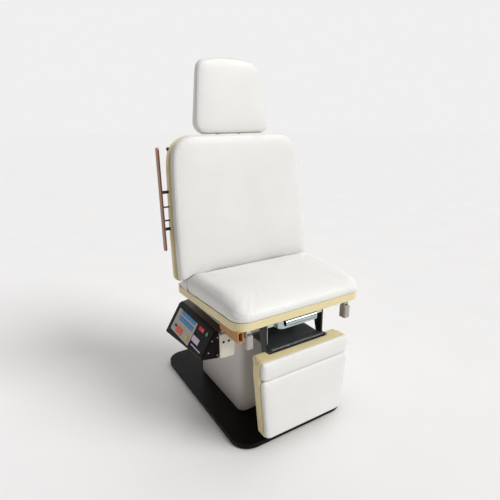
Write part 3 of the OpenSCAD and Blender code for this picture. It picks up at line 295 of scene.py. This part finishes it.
def metal(name, colour, rough, along):
    """Steel with fine drawing lines along one axis, 0, 1 or 2."""
    look = Look(name, colour, rough, 1.0)
    look.soft_edges(0.0006)
    scale = [900.0] * 3
    scale[along] = 12.0
    lines = look.noise(1.0, 3, look.stretched(scale))
    look.tint(look.noise(18, 4), 0.1)
    look.gloss(lines, 0.07)
    return look.bump(lines, 0.00003, 0.6)


def make_vinyl():
    """Seamed upholstery vinyl: haircell grain, faint mottling, a dull soft sheen."""
    look = Look("vinyl", "#e7e7e4", 0.42)
    look.tint(look.noise(6, 4), 0.022)
    look.over(look.ramp(look.noise(2.2, 5), 0.55, 0.85, 0, 0.12), linear("#d9d2c8"))
    look.gloss(look.noise(28, 5), 0.06)
    look.set("Sheen Weight", 0.08)
    look.set("Sheen Roughness", 0.5)
    look.bump(look.noise(45, 3), 0.0006, 0.35)
    look.bump(look.cells(1100, "DISTANCE_TO_EDGE"), 0.00012, 0.5)
    return look.done()


# Outlines
def rounded(corners, radii, steps=12):
    """Points of a convex outline with its corners rounded, counter-clockwise."""
    out = []
    n = len(corners)
    for i in range(n):
        a, p, b = (Vector(corners[(i + k) % n]) for k in (-1, 0, 1))
        u, v = (a - p).normalized(), (b - p).normalized()
        half = math.acos(max(-1, min(1, u.dot(v)))) / 2
        reach = radii[i] / math.tan(half)
        centre = p + (u + v).normalized() * radii[i] / math.sin(half)
        s, e = p + u * reach - centre, p + v * reach - centre
        start = math.atan2(s.y, s.x)
        turn = (math.atan2(e.y, e.x) - start + math.pi) % (2 * math.pi) - math.pi
        for k in range(steps + 1):
            angle = start + turn * k / steps
            out.append(centre + Vector((math.cos(angle), math.sin(angle))) * radii[i])
    return [(p.x, p.y) for p in out]


def mirrored(half):
    return list(half) + [(-x, y) for x, y in reversed(half)]


def resampled(points, gap):
    """The closed outline again with points about gap apart."""
    p = np.array(points)
    step = np.linalg.norm(np.roll(p, -1, 0) - p, axis=1)
    at = np.concatenate([[0], np.cumsum(step)])
    n = max(24, int(at[-1] / gap))
    want = np.linspace(0, at[-1], n, endpoint=False)
    closed = np.vstack([p, p[:1]])
    return np.column_stack([np.interp(want, at, closed[:, k]) for k in (0, 1)])


def edge_distance(q, outline):
    """Distance of each point of q to the closed outline."""
    a, b = outline, np.roll(outline, -1, 0)
    ab = b - a
    best = np.full(len(q), 1e9)
    for s, d in zip(a, ab):
        t = np.clip(((q - s) @ d) / max(d @ d, 1e-9), 0, 1)
        best = np.minimum(best, np.linalg.norm(q - (s + t[:, None] * d), axis=1))
    return best


def smooth_step(t):
    t = np.clip(t, 0, 1)
    return t * t * (3 - 2 * t)


# Meshes
def new_object(name, verts, faces, material, smooth=True):
    mesh = bpy.data.meshes.new(name)
    mesh.from_pydata([tuple(v) for v in verts], [], faces)
    mesh.update()
    obj = bpy.data.objects.new(name, mesh)
    bpy.context.scene.collection.objects.link(obj)
    mesh.materials.append(material)
    if smooth:
        mesh.polygons.foreach_set("use_smooth", [True] * len(mesh.polygons))
    return obj


def skin(rings):
    """Quads between rings of equal count, with capped ends."""
    n = len(rings[0])
    verts = [v for ring in rings for v in ring]
    faces = [(k * n + i, k * n + (i + 1) % n, (k + 1) * n + (i + 1) % n, (k + 1) * n + i)
             for k in range(len(rings) - 1) for i in range(n)]
    faces.append(tuple(range(n - 1, -1, -1)))
    faces.append(tuple((len(rings) - 1) * n + i for i in range(n)))
    return verts, faces


def apply_modifiers(obj):
    graph = bpy.context.evaluated_depsgraph_get()
    mesh = bpy.data.meshes.new_from_object(obj.evaluated_get(graph))
    old = obj.data
    obj.modifiers.clear()
    obj.data = mesh
    bpy.data.meshes.remove(old)
    return obj


def coords(obj, what="co"):
    """The places of a mesh's points, or their normals, one to a row."""
    co = np.empty(len(obj.data.vertices) * 3)
    obj.data.vertices.foreach_get(what, co)
    return co.reshape(-1, 3)


def set_coords(obj, co):
    obj.data.vertices.foreach_set("co", np.ascontiguousarray(co, float).ravel())
    obj.data.update()


def tube(name, path, radius, material, sides=8, closed=True):
    """A bead of round section along a path of points, as one mesh."""
    p = np.array([tuple(v) for v in path])
    n = len(p)
    ahead = np.roll(p, -1, 0) - np.roll(p, 1, 0)
    if not closed:
        ahead[0], ahead[-1] = p[1] - p[0], p[-1] - p[-2]
    ahead /= np.linalg.norm(ahead, axis=1)[:, None]
    side = np.cross(ahead[0], (0.3, 0.5, 0.8))
    rings = []
    for k in range(n):
        side = side - ahead[k] * (side @ ahead[k])
        side /= np.linalg.norm(side)
        other = np.cross(ahead[k], side)
        angle = np.arange(sides) * 2 * math.pi / sides
        rings.append(p[k] + radius * (np.cos(angle)[:, None] * side
                                      + np.sin(angle)[:, None] * other))
    verts = np.vstack(rings)
    faces = [(k * sides + i, k * sides + (i + 1) % sides,
              ((k + 1) % n) * sides + (i + 1) % sides, ((k + 1) % n) * sides + i)
             for k in range(n if closed else n - 1) for i in range(sides)]
    if not closed:
        faces.append(tuple(range(sides - 1, -1, -1)))
        faces.append(tuple((n - 1) * sides + i for i in range(sides)))
    return new_object(name, verts, faces, material)


# Padded pieces: how full their edges are, the cloth's run, and the seam's groove and folds
PAD_FULLNESS = 2.6
OUTLINE_GAP = 6
CLOTH_FRAMES = 20
CLOTH_PRESSURE = 4.0
SEAM_HOLD = 0.6
SOFTEN_ROUNDS = 30
GROOVE_WIDTH = 0.0045
FOLD_REACH = 0.016
FOLD_GAP = 0.021
FOLD_GROUP = 0.16


class Pad:
    """A boxed cushion: a front panel, a side band and the seam between them.

    Its own frame is u and v across the panel and w out of the shell, in millimetres."""

    def __init__(self, name, outline, to_row, base, seam, top, reach, band, lip,
                 back_cut=None, lip_shares=(1.0, 1.0)):
        self.name, self.to_row = name, to_row
        self.outline = resampled(outline, OUTLINE_GAP)
        self.base, self.seam, self.top = base, seam, top
        self.reach, self.band, self.lip = reach, band, lip
        self.back_cut, self.lip_shares = back_cut, np.array(lip_shares)
        self.centre = (self.outline.max(0) + self.outline.min(0)) / 2
        self.half = (self.outline.max(0) - self.outline.min(0)) / 2
        self.least = float(self.seam(self.outline).min()) - base

    def ring(self, inward):
        """The outline drawn in by a distance."""
        return self.centre + (self.outline - self.centre) * (1 - inward / self.half)

    def seam_ring(self, share=1.0):
        """The outline drawn in towards the seam by a share of the lip."""
        return self.centre + (self.outline - self.centre) * (
            1 - share * self.lip * self.lip_shares / self.half)

    def height(self, q):
        """Height of the front panel at points q."""
        d = edge_distance(q, self.seam_ring())
        seam, top = self.seam(q), self.top(q)
        t = np.clip(d / self.reach, 0, 1)
        return seam + (top - seam) * (1 - (1 - t) ** PAD_FULLNESS)

    def start_mesh(self, material):
        rings = []
        seam_ring = self.seam_ring()
        seam = self.seam(seam_ring)
        for share, q in ((0, self.ring(self.band + 1)), (0.25, self.ring(self.band * 0.35)),
                         (0.55, self.seam_ring(0.12)), (0.85, self.seam_ring(0.55)),
                         (1, seam_ring)):
            rings.append(np.column_stack([q, self.base + (seam - self.base) * share]))
        deepest = 1 - 4 / self.half.min()
        middle = seam_ring.mean(0)
        for share in np.geomspace(0.02, deepest, 16):
            q = middle + (seam_ring - middle) * (1 - share)
            rings.append(np.column_stack([q, self.height(q)]))
        verts, faces = skin(rings)
        if self.back_cut:
            verts = [self.back_cut(v) for v in verts]
        return new_object(self.name, [self.to_row(*v) for v in verts], faces, material)

    def seam_path(self):
        q = self.seam_ring()
        path = np.column_stack([q, self.seam(q)])
        if self.back_cut:
            path = np.array([self.back_cut(v) for v in path])
        return [self.to_row(*v) for v in path]


def near_path(points, path):
    """For each point, the distance to a dense path and the number of its nearest point."""
    path = np.array([tuple(v) for v in path])
    best = np.full(len(points), 1e9)
    which = np.zeros(len(points), int)
    for k, p in enumerate(path):
        d = np.linalg.norm(points - p, axis=1)
        closer = d < best
        best[closer], which[closer] = d[closer], k
    return best, which


def inflate(obj, held, cap):
    """Blows the cover up like cloth round its filling, holding the points marked as held."""
    rest = coords(obj).copy()
    group = obj.vertex_groups.new(name="held")
    for strength in (1.0, SEAM_HOLD):
        which = np.nonzero(np.isclose(held, strength))[0]
        group.add([int(i) for i in which], strength, "REPLACE")
    cloth = obj.modifiers.new("cloth", "CLOTH")
    s = cloth.settings
    s.vertex_group_mass = "held"
    s.quality = 4
    s.mass = 0.25
    s.tension_stiffness = s.compression_stiffness = 12
    s.shear_stiffness = 6
    s.bending_stiffness = 0.6
    s.use_pressure = True
    s.uniform_pressure_force = CLOTH_PRESSURE
    s.effector_weights.gravity = 0
    cloth.collision_settings.use_collision = False
    scene = bpy.context.scene
    for f in range(1, CLOTH_FRAMES + 1):
        scene.frame_set(f)
    apply_modifiers(obj)
    scene.frame_set(1)
    move = coords(obj) - rest
    far = np.linalg.norm(move, axis=1)
    share = np.minimum(1, far / max(np.percentile(far, 98), cap))
    move *= (cap * share ** 0.8 / np.maximum(far, 1e-9))[:, None]
    set_coords(obj, rest + move)


def soften(obj, weights):
    """Evens out the face, so that no ridge runs in from its corners."""
    group = obj.vertex_groups.new(name="panel")
    for share in range(1, 11):
        which = np.nonzero(np.round(weights * 10) == share)[0]
        group.add([int(i) for i in which], share / 10, "REPLACE")
    smooth = obj.modifiers.new("soften", "SMOOTH")
    smooth.factor = 0.5
    smooth.iterations = SOFTEN_ROUNDS
    smooth.vertex_group = "panel"
    apply_modifiers(obj)


def finish_pad(pad, material, voxel, cap, tuck, pucker):
    """Makes a pad: its form, the inflated cover, the seam's groove and its puckers."""
    obj = pad.start_mesh(material)
    remesh = obj.modifiers.new("remesh", "REMESH")
    remesh.mode = "VOXEL"
    remesh.voxel_size = voxel * MM
    apply_modifiers(obj)
    seam = pad.seam_path()
    co = coords(obj)
    d, _ = near_path(co, seam)
    plane = np.array(pad.to_row(0, 0, pad.base)), np.array(pad.to_row(0, 0, pad.base + 1))
    out = (plane[1] - plane[0]) / np.linalg.norm(plane[1] - plane[0])
    lift = (co - plane[0]) @ out
    panel = smooth_step((d - 0.006) / (pad.reach * MM)) * (lift > 0.5 * pad.least * MM)
    soften(obj, panel)
    co = coords(obj)
    held = np.zeros(len(co))
    held[d < 0.9 * voxel * MM] = SEAM_HOLD
    held[lift < 2.5 * MM] = 1.0
    inflate(obj, held, cap * MM)
    smooth = obj.modifiers.new("smooth", "SUBSURF")
    smooth.levels = smooth.render_levels = 1
    apply_modifiers(obj)
    co = coords(obj)
    d, which = near_path(co, seam)
    n = coords(obj, "normal")
    count = len(seam)
    girth = count * np.linalg.norm(np.array(seam[1]) - np.array(seam[0]))
    s = which / count * girth
    wave = (np.sin(s * 2 * math.pi / FOLD_GAP + 2.1 * np.sin(s * 9))
            * (0.5 + 0.5 * np.sin(s * 2 * math.pi / FOLD_GROUP + 1.3)))
    near = np.exp(-(d / FOLD_REACH) ** 2)
    groove = -tuck * MM * np.exp(-(d / GROOVE_WIDTH) ** 2)
    move = groove + pucker * MM * wave * near * np.clip(d / 0.006, 0, 1)
    move[((co - plane[0]) @ out) < 2 * MM] = 0
    set_coords(obj, co + n * move[:, None])
    obj.data.polygons.foreach_set("use_smooth", [True] * len(obj.data.polygons))
    return obj


def seam_bead(name, pad, obj, radius, material):
    """The seam's turned edge: a thin bead that lies in the groove of the cover."""
    tree = BVHTree.FromObject(obj, bpy.context.evaluated_depsgraph_get())
    path = []
    for p in pad.seam_path():
        place, normal, _, _ = tree.find_nearest(Vector(p))
        path.append(place + normal * radius * MM * 0.35)
    p = np.array([tuple(v) for v in path])
    for _ in range(3):
        p = (np.roll(p, 1, 0) + 2 * p + np.roll(p, -1, 0)) / 4
    return tube(name, p, radius * MM, material)


def lookup(steps):
    """Heights at points of the panel, read off a list of v, height pairs."""
    return lambda q: np.interp(q[:, 1], *zip(*steps))


def level(height):
    """The same height all over the panel."""
    return lambda q: np.full(len(q), float(height))


# The five pads. Tables are pairs of a place along the seat or back and a height
SEAT_CREST = [(-6, 60), (32, 71), (72, 76), (123, 84), (212, 88), (287, 93), (349, 92), (437, 84)]
SEAT_TOP = [(-6, 72), (10, 82), (45, 99), (80, 108), (120, 115), (160, 120), (250, 124),
            (437, 125)]
PAD_GAP = 2.0
SEAT_REAR = CREASE[0] - PAD_GAP
LEAN_FROM = 300
TAIL_TOP = [(431, 97), (480, 80), (531, 36)]
TAIL_CREST = [(431, 79), (480, 70), (531, 36)]
TAIL_ROLL = (290, 340)
TAIL_LIP = 10
BACK_TOP = [(-50, 44), (0, 46), (90, 47), (150, 50.5), (260, 49), (600, 48)]
BACK_LOW = -48
BACK_FACE = 49
HEAD_FACE = 71
FOOT_FACE = -7
FOOT_TOP = -148.7
FOOT_SPLIT = 88
FOOT_GAP = 0.8


def seat_rear(v):
    """Leans the rear of the seat pad along the back's face, just clear of it."""
    x, y, z = v
    limit = SEAT_REAR - (CREASE[1] - z) * math.tan(RECLINE)
    share = smooth_step((y - LEAN_FROM) / (SEAT_REAR - LEAN_FROM))
    return (x, y + (limit - SEAT_REAR) * share, z)


def seat_pad(vinyl):
    corners = mirrored([(326, -5), (350, SEAT_REAR)])
    pad = Pad("seat_pad", rounded(corners, [62, 12, 12, 62]), seat_point, SHELL_TOP,
              lookup(SEAT_CREST), lookup(SEAT_TOP), reach=46, band=4, lip=10,
              back_cut=seat_rear, lip_shares=(1, 0.4))
    obj = finish_pad(pad, vinyl, voxel=6, cap=7, tuck=1.6, pucker=0.7)
    bead = seam_bead("seat_seam", pad, obj, 1.2, vinyl)
    dress(obj, bead, "seat", "seat_cushion")


def tail_section(x, side):
    """The tail's outline from front to rear at one distance from the middle."""
    low = SHELL_TOP + 0.4
    start, end = TAIL_ROLL
    ys = np.linspace(431, 528, 13)
    roll = smooth_step((x - start) / (end - start))
    fall = 1 - max(0.0, (x - end) / TAIL_LIP) ** 2
    highs = np.interp(ys, *zip(*TAIL_TOP)) * (1 - roll)
    highs = highs + np.interp(ys, *zip(*TAIL_CREST)) * roll
    highs = low + 1 + np.maximum(highs - low - 1, 0) * fall
    ring = [(419, low), (424, highs[0] - 1)]
    ring += list(zip(ys, highs)) + [(531, low + 0.4)]
    ring += [(y, low) for y in np.linspace(520, 435, 6)]
    return [seat_point(side * x, y, z) for y, z in ring]


def seat_tails(vinyl):
    """Mitred ends of the seat's upholstery that run back under the back's lower corners."""
    xs = [204, *np.linspace(212, 292, 4), *np.linspace(302, 340, 7), 344, 347, 349]
    for name, side in (("seat_tail_left", -1), ("seat_tail_right", 1)):
        rings = [tail_section(x, side) for x in xs]
        verts, faces = skin(rings if side < 0 else rings[::-1])
        tail = new_object(name, verts, faces, vinyl)
        smooth = tail.modifiers.new("smooth", "SUBSURF")
        smooth.levels = smooth.render_levels = 1
        apply_modifiers(tail)
        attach(tail, "seat")
        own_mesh(tail)


def back_mitre(v):
    """Lifts the back pad's lower edge in the middle, where it meets the seat."""
    x, up, w = v
    share = 1 - smooth_step((up - BACK_LOW) / 110)
    middle = 1 - smooth_step((abs(x) - 292) / 58)
    return (x, up + (14 + 7 * w / BACK_FACE) * share * middle, w)


def back_pad(vinyl):
    corners = mirrored([(369, BACK_LOW), (363, 211), (345, 471), (323, 603)])
    radii = [20, 400, 400, 104]
    pad = Pad("back_pad", rounded(corners, radii + radii[::-1]),
              lambda u, v, w: back_point(u, BACK_FACE - w, v), 0.3, level(41), lookup(BACK_TOP),
              reach=26, band=3, lip=7, back_cut=back_mitre)
    obj = finish_pad(pad, vinyl, voxel=6.5, cap=5, tuck=1.4, pucker=0.5)
    bead = seam_bead("back_seam", pad, obj, 1.2, vinyl)
    dress(obj, bead, "back", "back_cushion")


def headrest_pad(vinyl):
    corners = mirrored([(206, 607), (161, 933), (60, 951)])
    radii = [46, 50, 300]
    pad = Pad("headrest_pad", rounded(corners, radii + radii[::-1]),
              lambda u, v, w: back_point(u, HEAD_FACE - w, v), 0.3, level(30), level(36),
              reach=22, band=2, lip=6)
    obj = finish_pad(pad, vinyl, voxel=5, cap=3, tuck=1.3, pucker=0.4)
    bead = seam_bead("headrest_seam", pad, obj, 1.1, vinyl)
    dress(obj, bead, "headrest", "headrest_cushion")


def foot_point(u, v, w):
    """A point of the foot section: across, down from its top and forward of its shell."""
    return seat_point(u, FOOT_FACE - w, FOOT_TOP - v)


def foot_pads(vinyl):
    for part, corners, radii in (
            ("upper", [(231, 2.5), (231, FOOT_SPLIT - FOOT_GAP)], [14, 22]),
            ("lower", [(231, FOOT_SPLIT + FOOT_GAP), (211, 376)], [12, 24])):
        pad = Pad(f"foot_{part}_pad", rounded(mirrored(corners), radii + radii[::-1]), foot_point,
                  0.3, level(18.5), level(23), reach=20, band=1, lip=4)
        obj = finish_pad(pad, vinyl, voxel=4.5, cap=2.5, tuck=1.2, pucker=0.6)
        bead = seam_bead(f"foot_{part}_seam", pad, obj, 1.0, vinyl)
        dress(obj, bead, "foot_section", f"foot_{part}_cushion")


def dress(obj, bead, body, node):
    """Puts a pad and its bead in the place of the node's plain cushion."""
    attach(obj, body)
    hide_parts(node)
    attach(bead, body)


# Materials of the CAD nodes
def node_looks():
    """Paints every CAD node, and returns the materials by name for the fittings."""
    cream = moulded("cream_plastic", "#e6d8a8", 0.42)
    cream_paint = painted("cream_paint", "#f8f4e4", 0.45)
    # The receiver housing is cream-painted; this tan is painted shade, standing for the warm shade
    # on its left side.
    tan = painted("shade_painted_tan_paint", "#b8844c", 0.45)
    black = painted("black_paint", "#1b1c1e", 0.38)
    slate = painted("slate_paint", "#2b3033", 0.48, peel=420)
    cover = moulded("cover_plastic", "#d9d5d1", 0.42)
    dark = moulded("dark_plastic", "#120806", 0.42)
    dark.set("Specular IOR Level", 0.12)
    # Painted light: a lighter copy of the console's dark plastic, standing for the light that
    # falls on the console's roof.
    roof = moulded("console_plastic_lit_roof", "#3a241d", 0.4)
    rubber = moulded("rubber", "#19191a", 0.7)
    block = moulded("block_plastic", "#a8a29d", 0.45)
    steel_x = metal("steel_drawn_x", "#c3c6c8", 0.26, 0)
    steel_y = metal("steel_drawn_y", "#bfc2c5", 0.28, 1)
    steel_z = metal("steel_drawn_z", "#b4b6b8", 0.30, 2)
    pan = metal("pan_steel", "#b9c6c6", 0.22, 0)
    plate = painted("plate_paint", "#0b0403", 0.4, peel=500)
    plate.set("Specular IOR Level", 0.1)
    bronze = metal("bronze_rail", "#8d6350", 0.32, 2)
    overlay = moulded("overlay_film", "#b9aea4", 0.35, grain=1800, edge=0.0002)
    label = moulded("label_film", "#cfc9dc", 0.4, grain=1800, edge=0.0002)
    looks = {
        cream: ("seat_shell", "back_shell", "foot_shell"),
        cream_paint: ("console_bracket", "seat_frame"),
        tan: ("receiver_housing",),
        roof: (),
        moulded("key_band", "#2470ae", 0.38): (),
        black: ("tilt_actuator_body", "back_actuator_body", "foot_actuator_body", "foot_frame"),
        slate: ("lift_platform", "stirrup_guides", "back_hinge_blocks", "back_frame",
                "foot_board", "guard_plate"),
        cover: ("base_cover", "upper_shroud"),
        dark: ("power_box", "mains_inlet", "console_body", "headrest_guide"),
        rubber: ("levelling_feet", "rail_spacers"),
        block: ("stirrup_block_left", "stirrup_block_right"),
        steel_x: ("tilt_shaft", "back_hinge_pins", "foot_strip"),
        steel_y: ("tilt_actuator_rod", "back_actuator_rod", "foot_actuator_rod", "pan_runners",
                  "stirrup_bar_left", "stirrup_bar_right"),
        steel_z: ("mast_outer", "mast_middle", "mast_inner", "headrest_posts"),
        bronze: ("side_rail",),
        pan: ("treatment_pan",),
        plate: ("base_plate",),
        overlay: ("control_overlay",),
        label: ("label_plate",),
        moulded("lamp_lens", "#149a5c", 0.15, edge=0.0004): ("pilot_lamp",),
        moulded("blue_keys", "#2f96e0", 0.35, grain=1600, edge=0.0005): ("key_pad",),
        moulded("yellow_cap", "#ecc81a", 0.3, edge=0.0008): ("yellow_button",),
        moulded("orange_cap", "#e8552c", 0.3, edge=0.0008): ("orange_button",),
        moulded("red_cap", "#df2330", 0.25, edge=0.0008): ("red_rocker",),
    }
    made = {look.name: (look.done(), names) for look, names in looks.items()}
    for mat, names in made.values():
        for name in names:
            paint_node(name, mat)
    return {name: mat for name, (mat, _) in made.items()}


def paint_node(name, mat):
    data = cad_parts[name].data
    data.materials.clear()
    data.materials.append(mat)


# Fittings that the CAD model leaves out, in millimetres. A rounding is the share of the
# lobe's height that its front corners have as their radius
CONSOLE_ROOF = [(-335, -66.0), (-334, -64.2), (-294, -57.5), (-291, -59), (-291, -63), (-312, -78),
                (-333, -78)]
BRACKET_SCREWS = ((-300, -118), (-275, -118))
CASE_SCREWS = ((-352, -100), (-371, -150), (-330, -172), (-326, -90))
DARK_CELLS = ((295.5, 9), (307, 10), (319.5, 10))
DARK_CELL_SPAN = (86, 97)
KEY_BANDS = ((13.5, 30.5), (39.5, 60))
KEY_BAND_SPAN = (153, 307)
HORNS = (("left", -221, -166), ("right", 157, 212))
HORN_PROUD = 0.6
LOBES = (("upper", -170, 42, 27), ("lower", -209, 32, 20))
LOBE_ROUNDING = 0.45
TRIM_HEIGHTS = (-44, -70, -110, -147)
SCREW_PROFILE = ((1, -0.1), (1, 0.25), (0.9, 0.5), (0.68, 0.68), (0.4, 0.76), (0.16, 0.78))


def slab(name, outline, path_start, path_end, place, material, body, edge=1.2):
    """A prism with eased edges: outline in two coordinates, run along the third."""
    points = np.array(outline, float)
    centre = (points.max(0) + points.min(0)) / 2
    half = (points.max(0) - points.min(0)) / 2
    rings = []
    for along, inward in ((path_start, edge), (path_start + edge, 0),
                          (path_end - edge, 0), (path_end, edge)):
        q = centre + (points - centre) * (1 - inward / half)
        rings.append([place(a, b, along) for a, b in q])
    verts, faces = skin(rings)
    obj = new_object(name, verts, faces, material, False)
    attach(obj, body)
    return obj


def screw(name, centre, out, radius, material, body):
    """A domed screw head with a cross recess, seated on the face at centre."""
    radius *= MM
    out = Vector(out).normalized()
    side = out.orthogonal().normalized()
    other = out.cross(side)
    rings = []
    for share, rise in SCREW_PROFILE:
        ring = []
        for k in range(32):
            angle = k * 2 * math.pi / 32
            arm = min(abs(math.sin(angle)), abs(math.cos(angle)))
            sunk = 0.3 if share < 0.65 and arm * share < 0.14 else 0
            spoke = side * math.cos(angle) + other * math.sin(angle)
            ring.append(centre + spoke * radius * share + out * radius * (rise - sunk))
        rings.append(ring)
    verts, faces = skin(rings)
    head = new_object(name, verts, faces, material)
    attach(head, body)


def panel_point(u, v, out):
    """A point of the control panel: u along the case, v down the panel, out of its face."""
    c, s = math.cos(PANEL_TILT), math.sin(PANEL_TILT)
    x, y, z = PANEL_CORNER
    return seat_point(x - out * c - v * s, y + u, z + out * s - v * c)


def box_outline(a0, a1, b0, b1, radii, steps):
    """An upright rectangle from a0 to a1 and b0 to b1 with its corners rounded."""
    return rounded([(a0, b0), (a1, b0), (a1, b1), (a0, b1)], radii, steps)


def fittings(mats):
    dark, steel = mats["dark_plastic"], mats["steel_drawn_x"]
    # The roof takes the lighter copy of the console's plastic, with its lit look painted in.
    slab("console_roof", CONSOLE_ROOF[::-1], 176, 538, lambda a, b, t: seat_point(a, t, b),
         mats["console_plastic_lit_roof"], "seat")
    for k, (x, z) in enumerate(BRACKET_SCREWS):
        screw(f"bracket_screw_{k}", seat_point(x, 167, z), (0, -1, 0), 5.2, mats["rubber"], "seat")
    for k, (x, z) in enumerate(CASE_SCREWS):
        screw(f"case_screw_{k}", seat_point(x, 170, z), (0, -1, 0), 3.2, steel, "seat")
    for k, (u, w) in enumerate(DARK_CELLS):
        cell = box_outline(u - w / 2, u + w / 2, *DARK_CELL_SPAN, [1.5] * 4, 4)
        slab(f"dark_cell_{k}", cell, 1.0, 1.7, panel_point,
             mats["block_plastic"] if k == 2 else dark, "seat", 0.3)
    for k, span in enumerate(KEY_BANDS):
        slab(f"key_band_{k}", box_outline(*KEY_BAND_SPAN, *span, [2] * 4, 4),
             0.9, 1.3, panel_point, mats["key_band"], "seat", 0.2)
    for name, x0, x1 in HORNS:
        for part, z, h, deep in LOBES:
            front = LOBE_ROUNDING * h
            lobe = box_outline(30, 37 + deep, z - h / 2, z + h / 2, [2, front, front, 2], 8)
            slab(f"horn_{part}_{name}", lobe, x0 - HORN_PROUD, x1 + HORN_PROUD,
                 lambda a, b, t: seat_point(t, a, b), mats["cream_plastic"], "foot_section", 2.5)
    tube("foot_arm_trim", [seat_point(-149, 61, z) for z in TRIM_HEIGHTS], 1.6 * MM, steel,
         12, False)
    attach(bpy.data.objects["foot_arm_trim"], "foot_section")
    hook = box_outline(541, 557, 70, 90, [4] * 4, 5)
    slab("back_clip", hook, -334, -312, lambda a, b, t: back_point(t, b, a), dark, "back", 1.5)


make_camera()
make_studio()
mats = node_looks()
vinyl = make_vinyl()
paint_node("headrest_shell", vinyl)
fittings(mats)
seat_pad(vinyl)
seat_tails(vinyl)
back_pad(vinyl)
headrest_pad(vinyl)
foot_pads(vinyl)
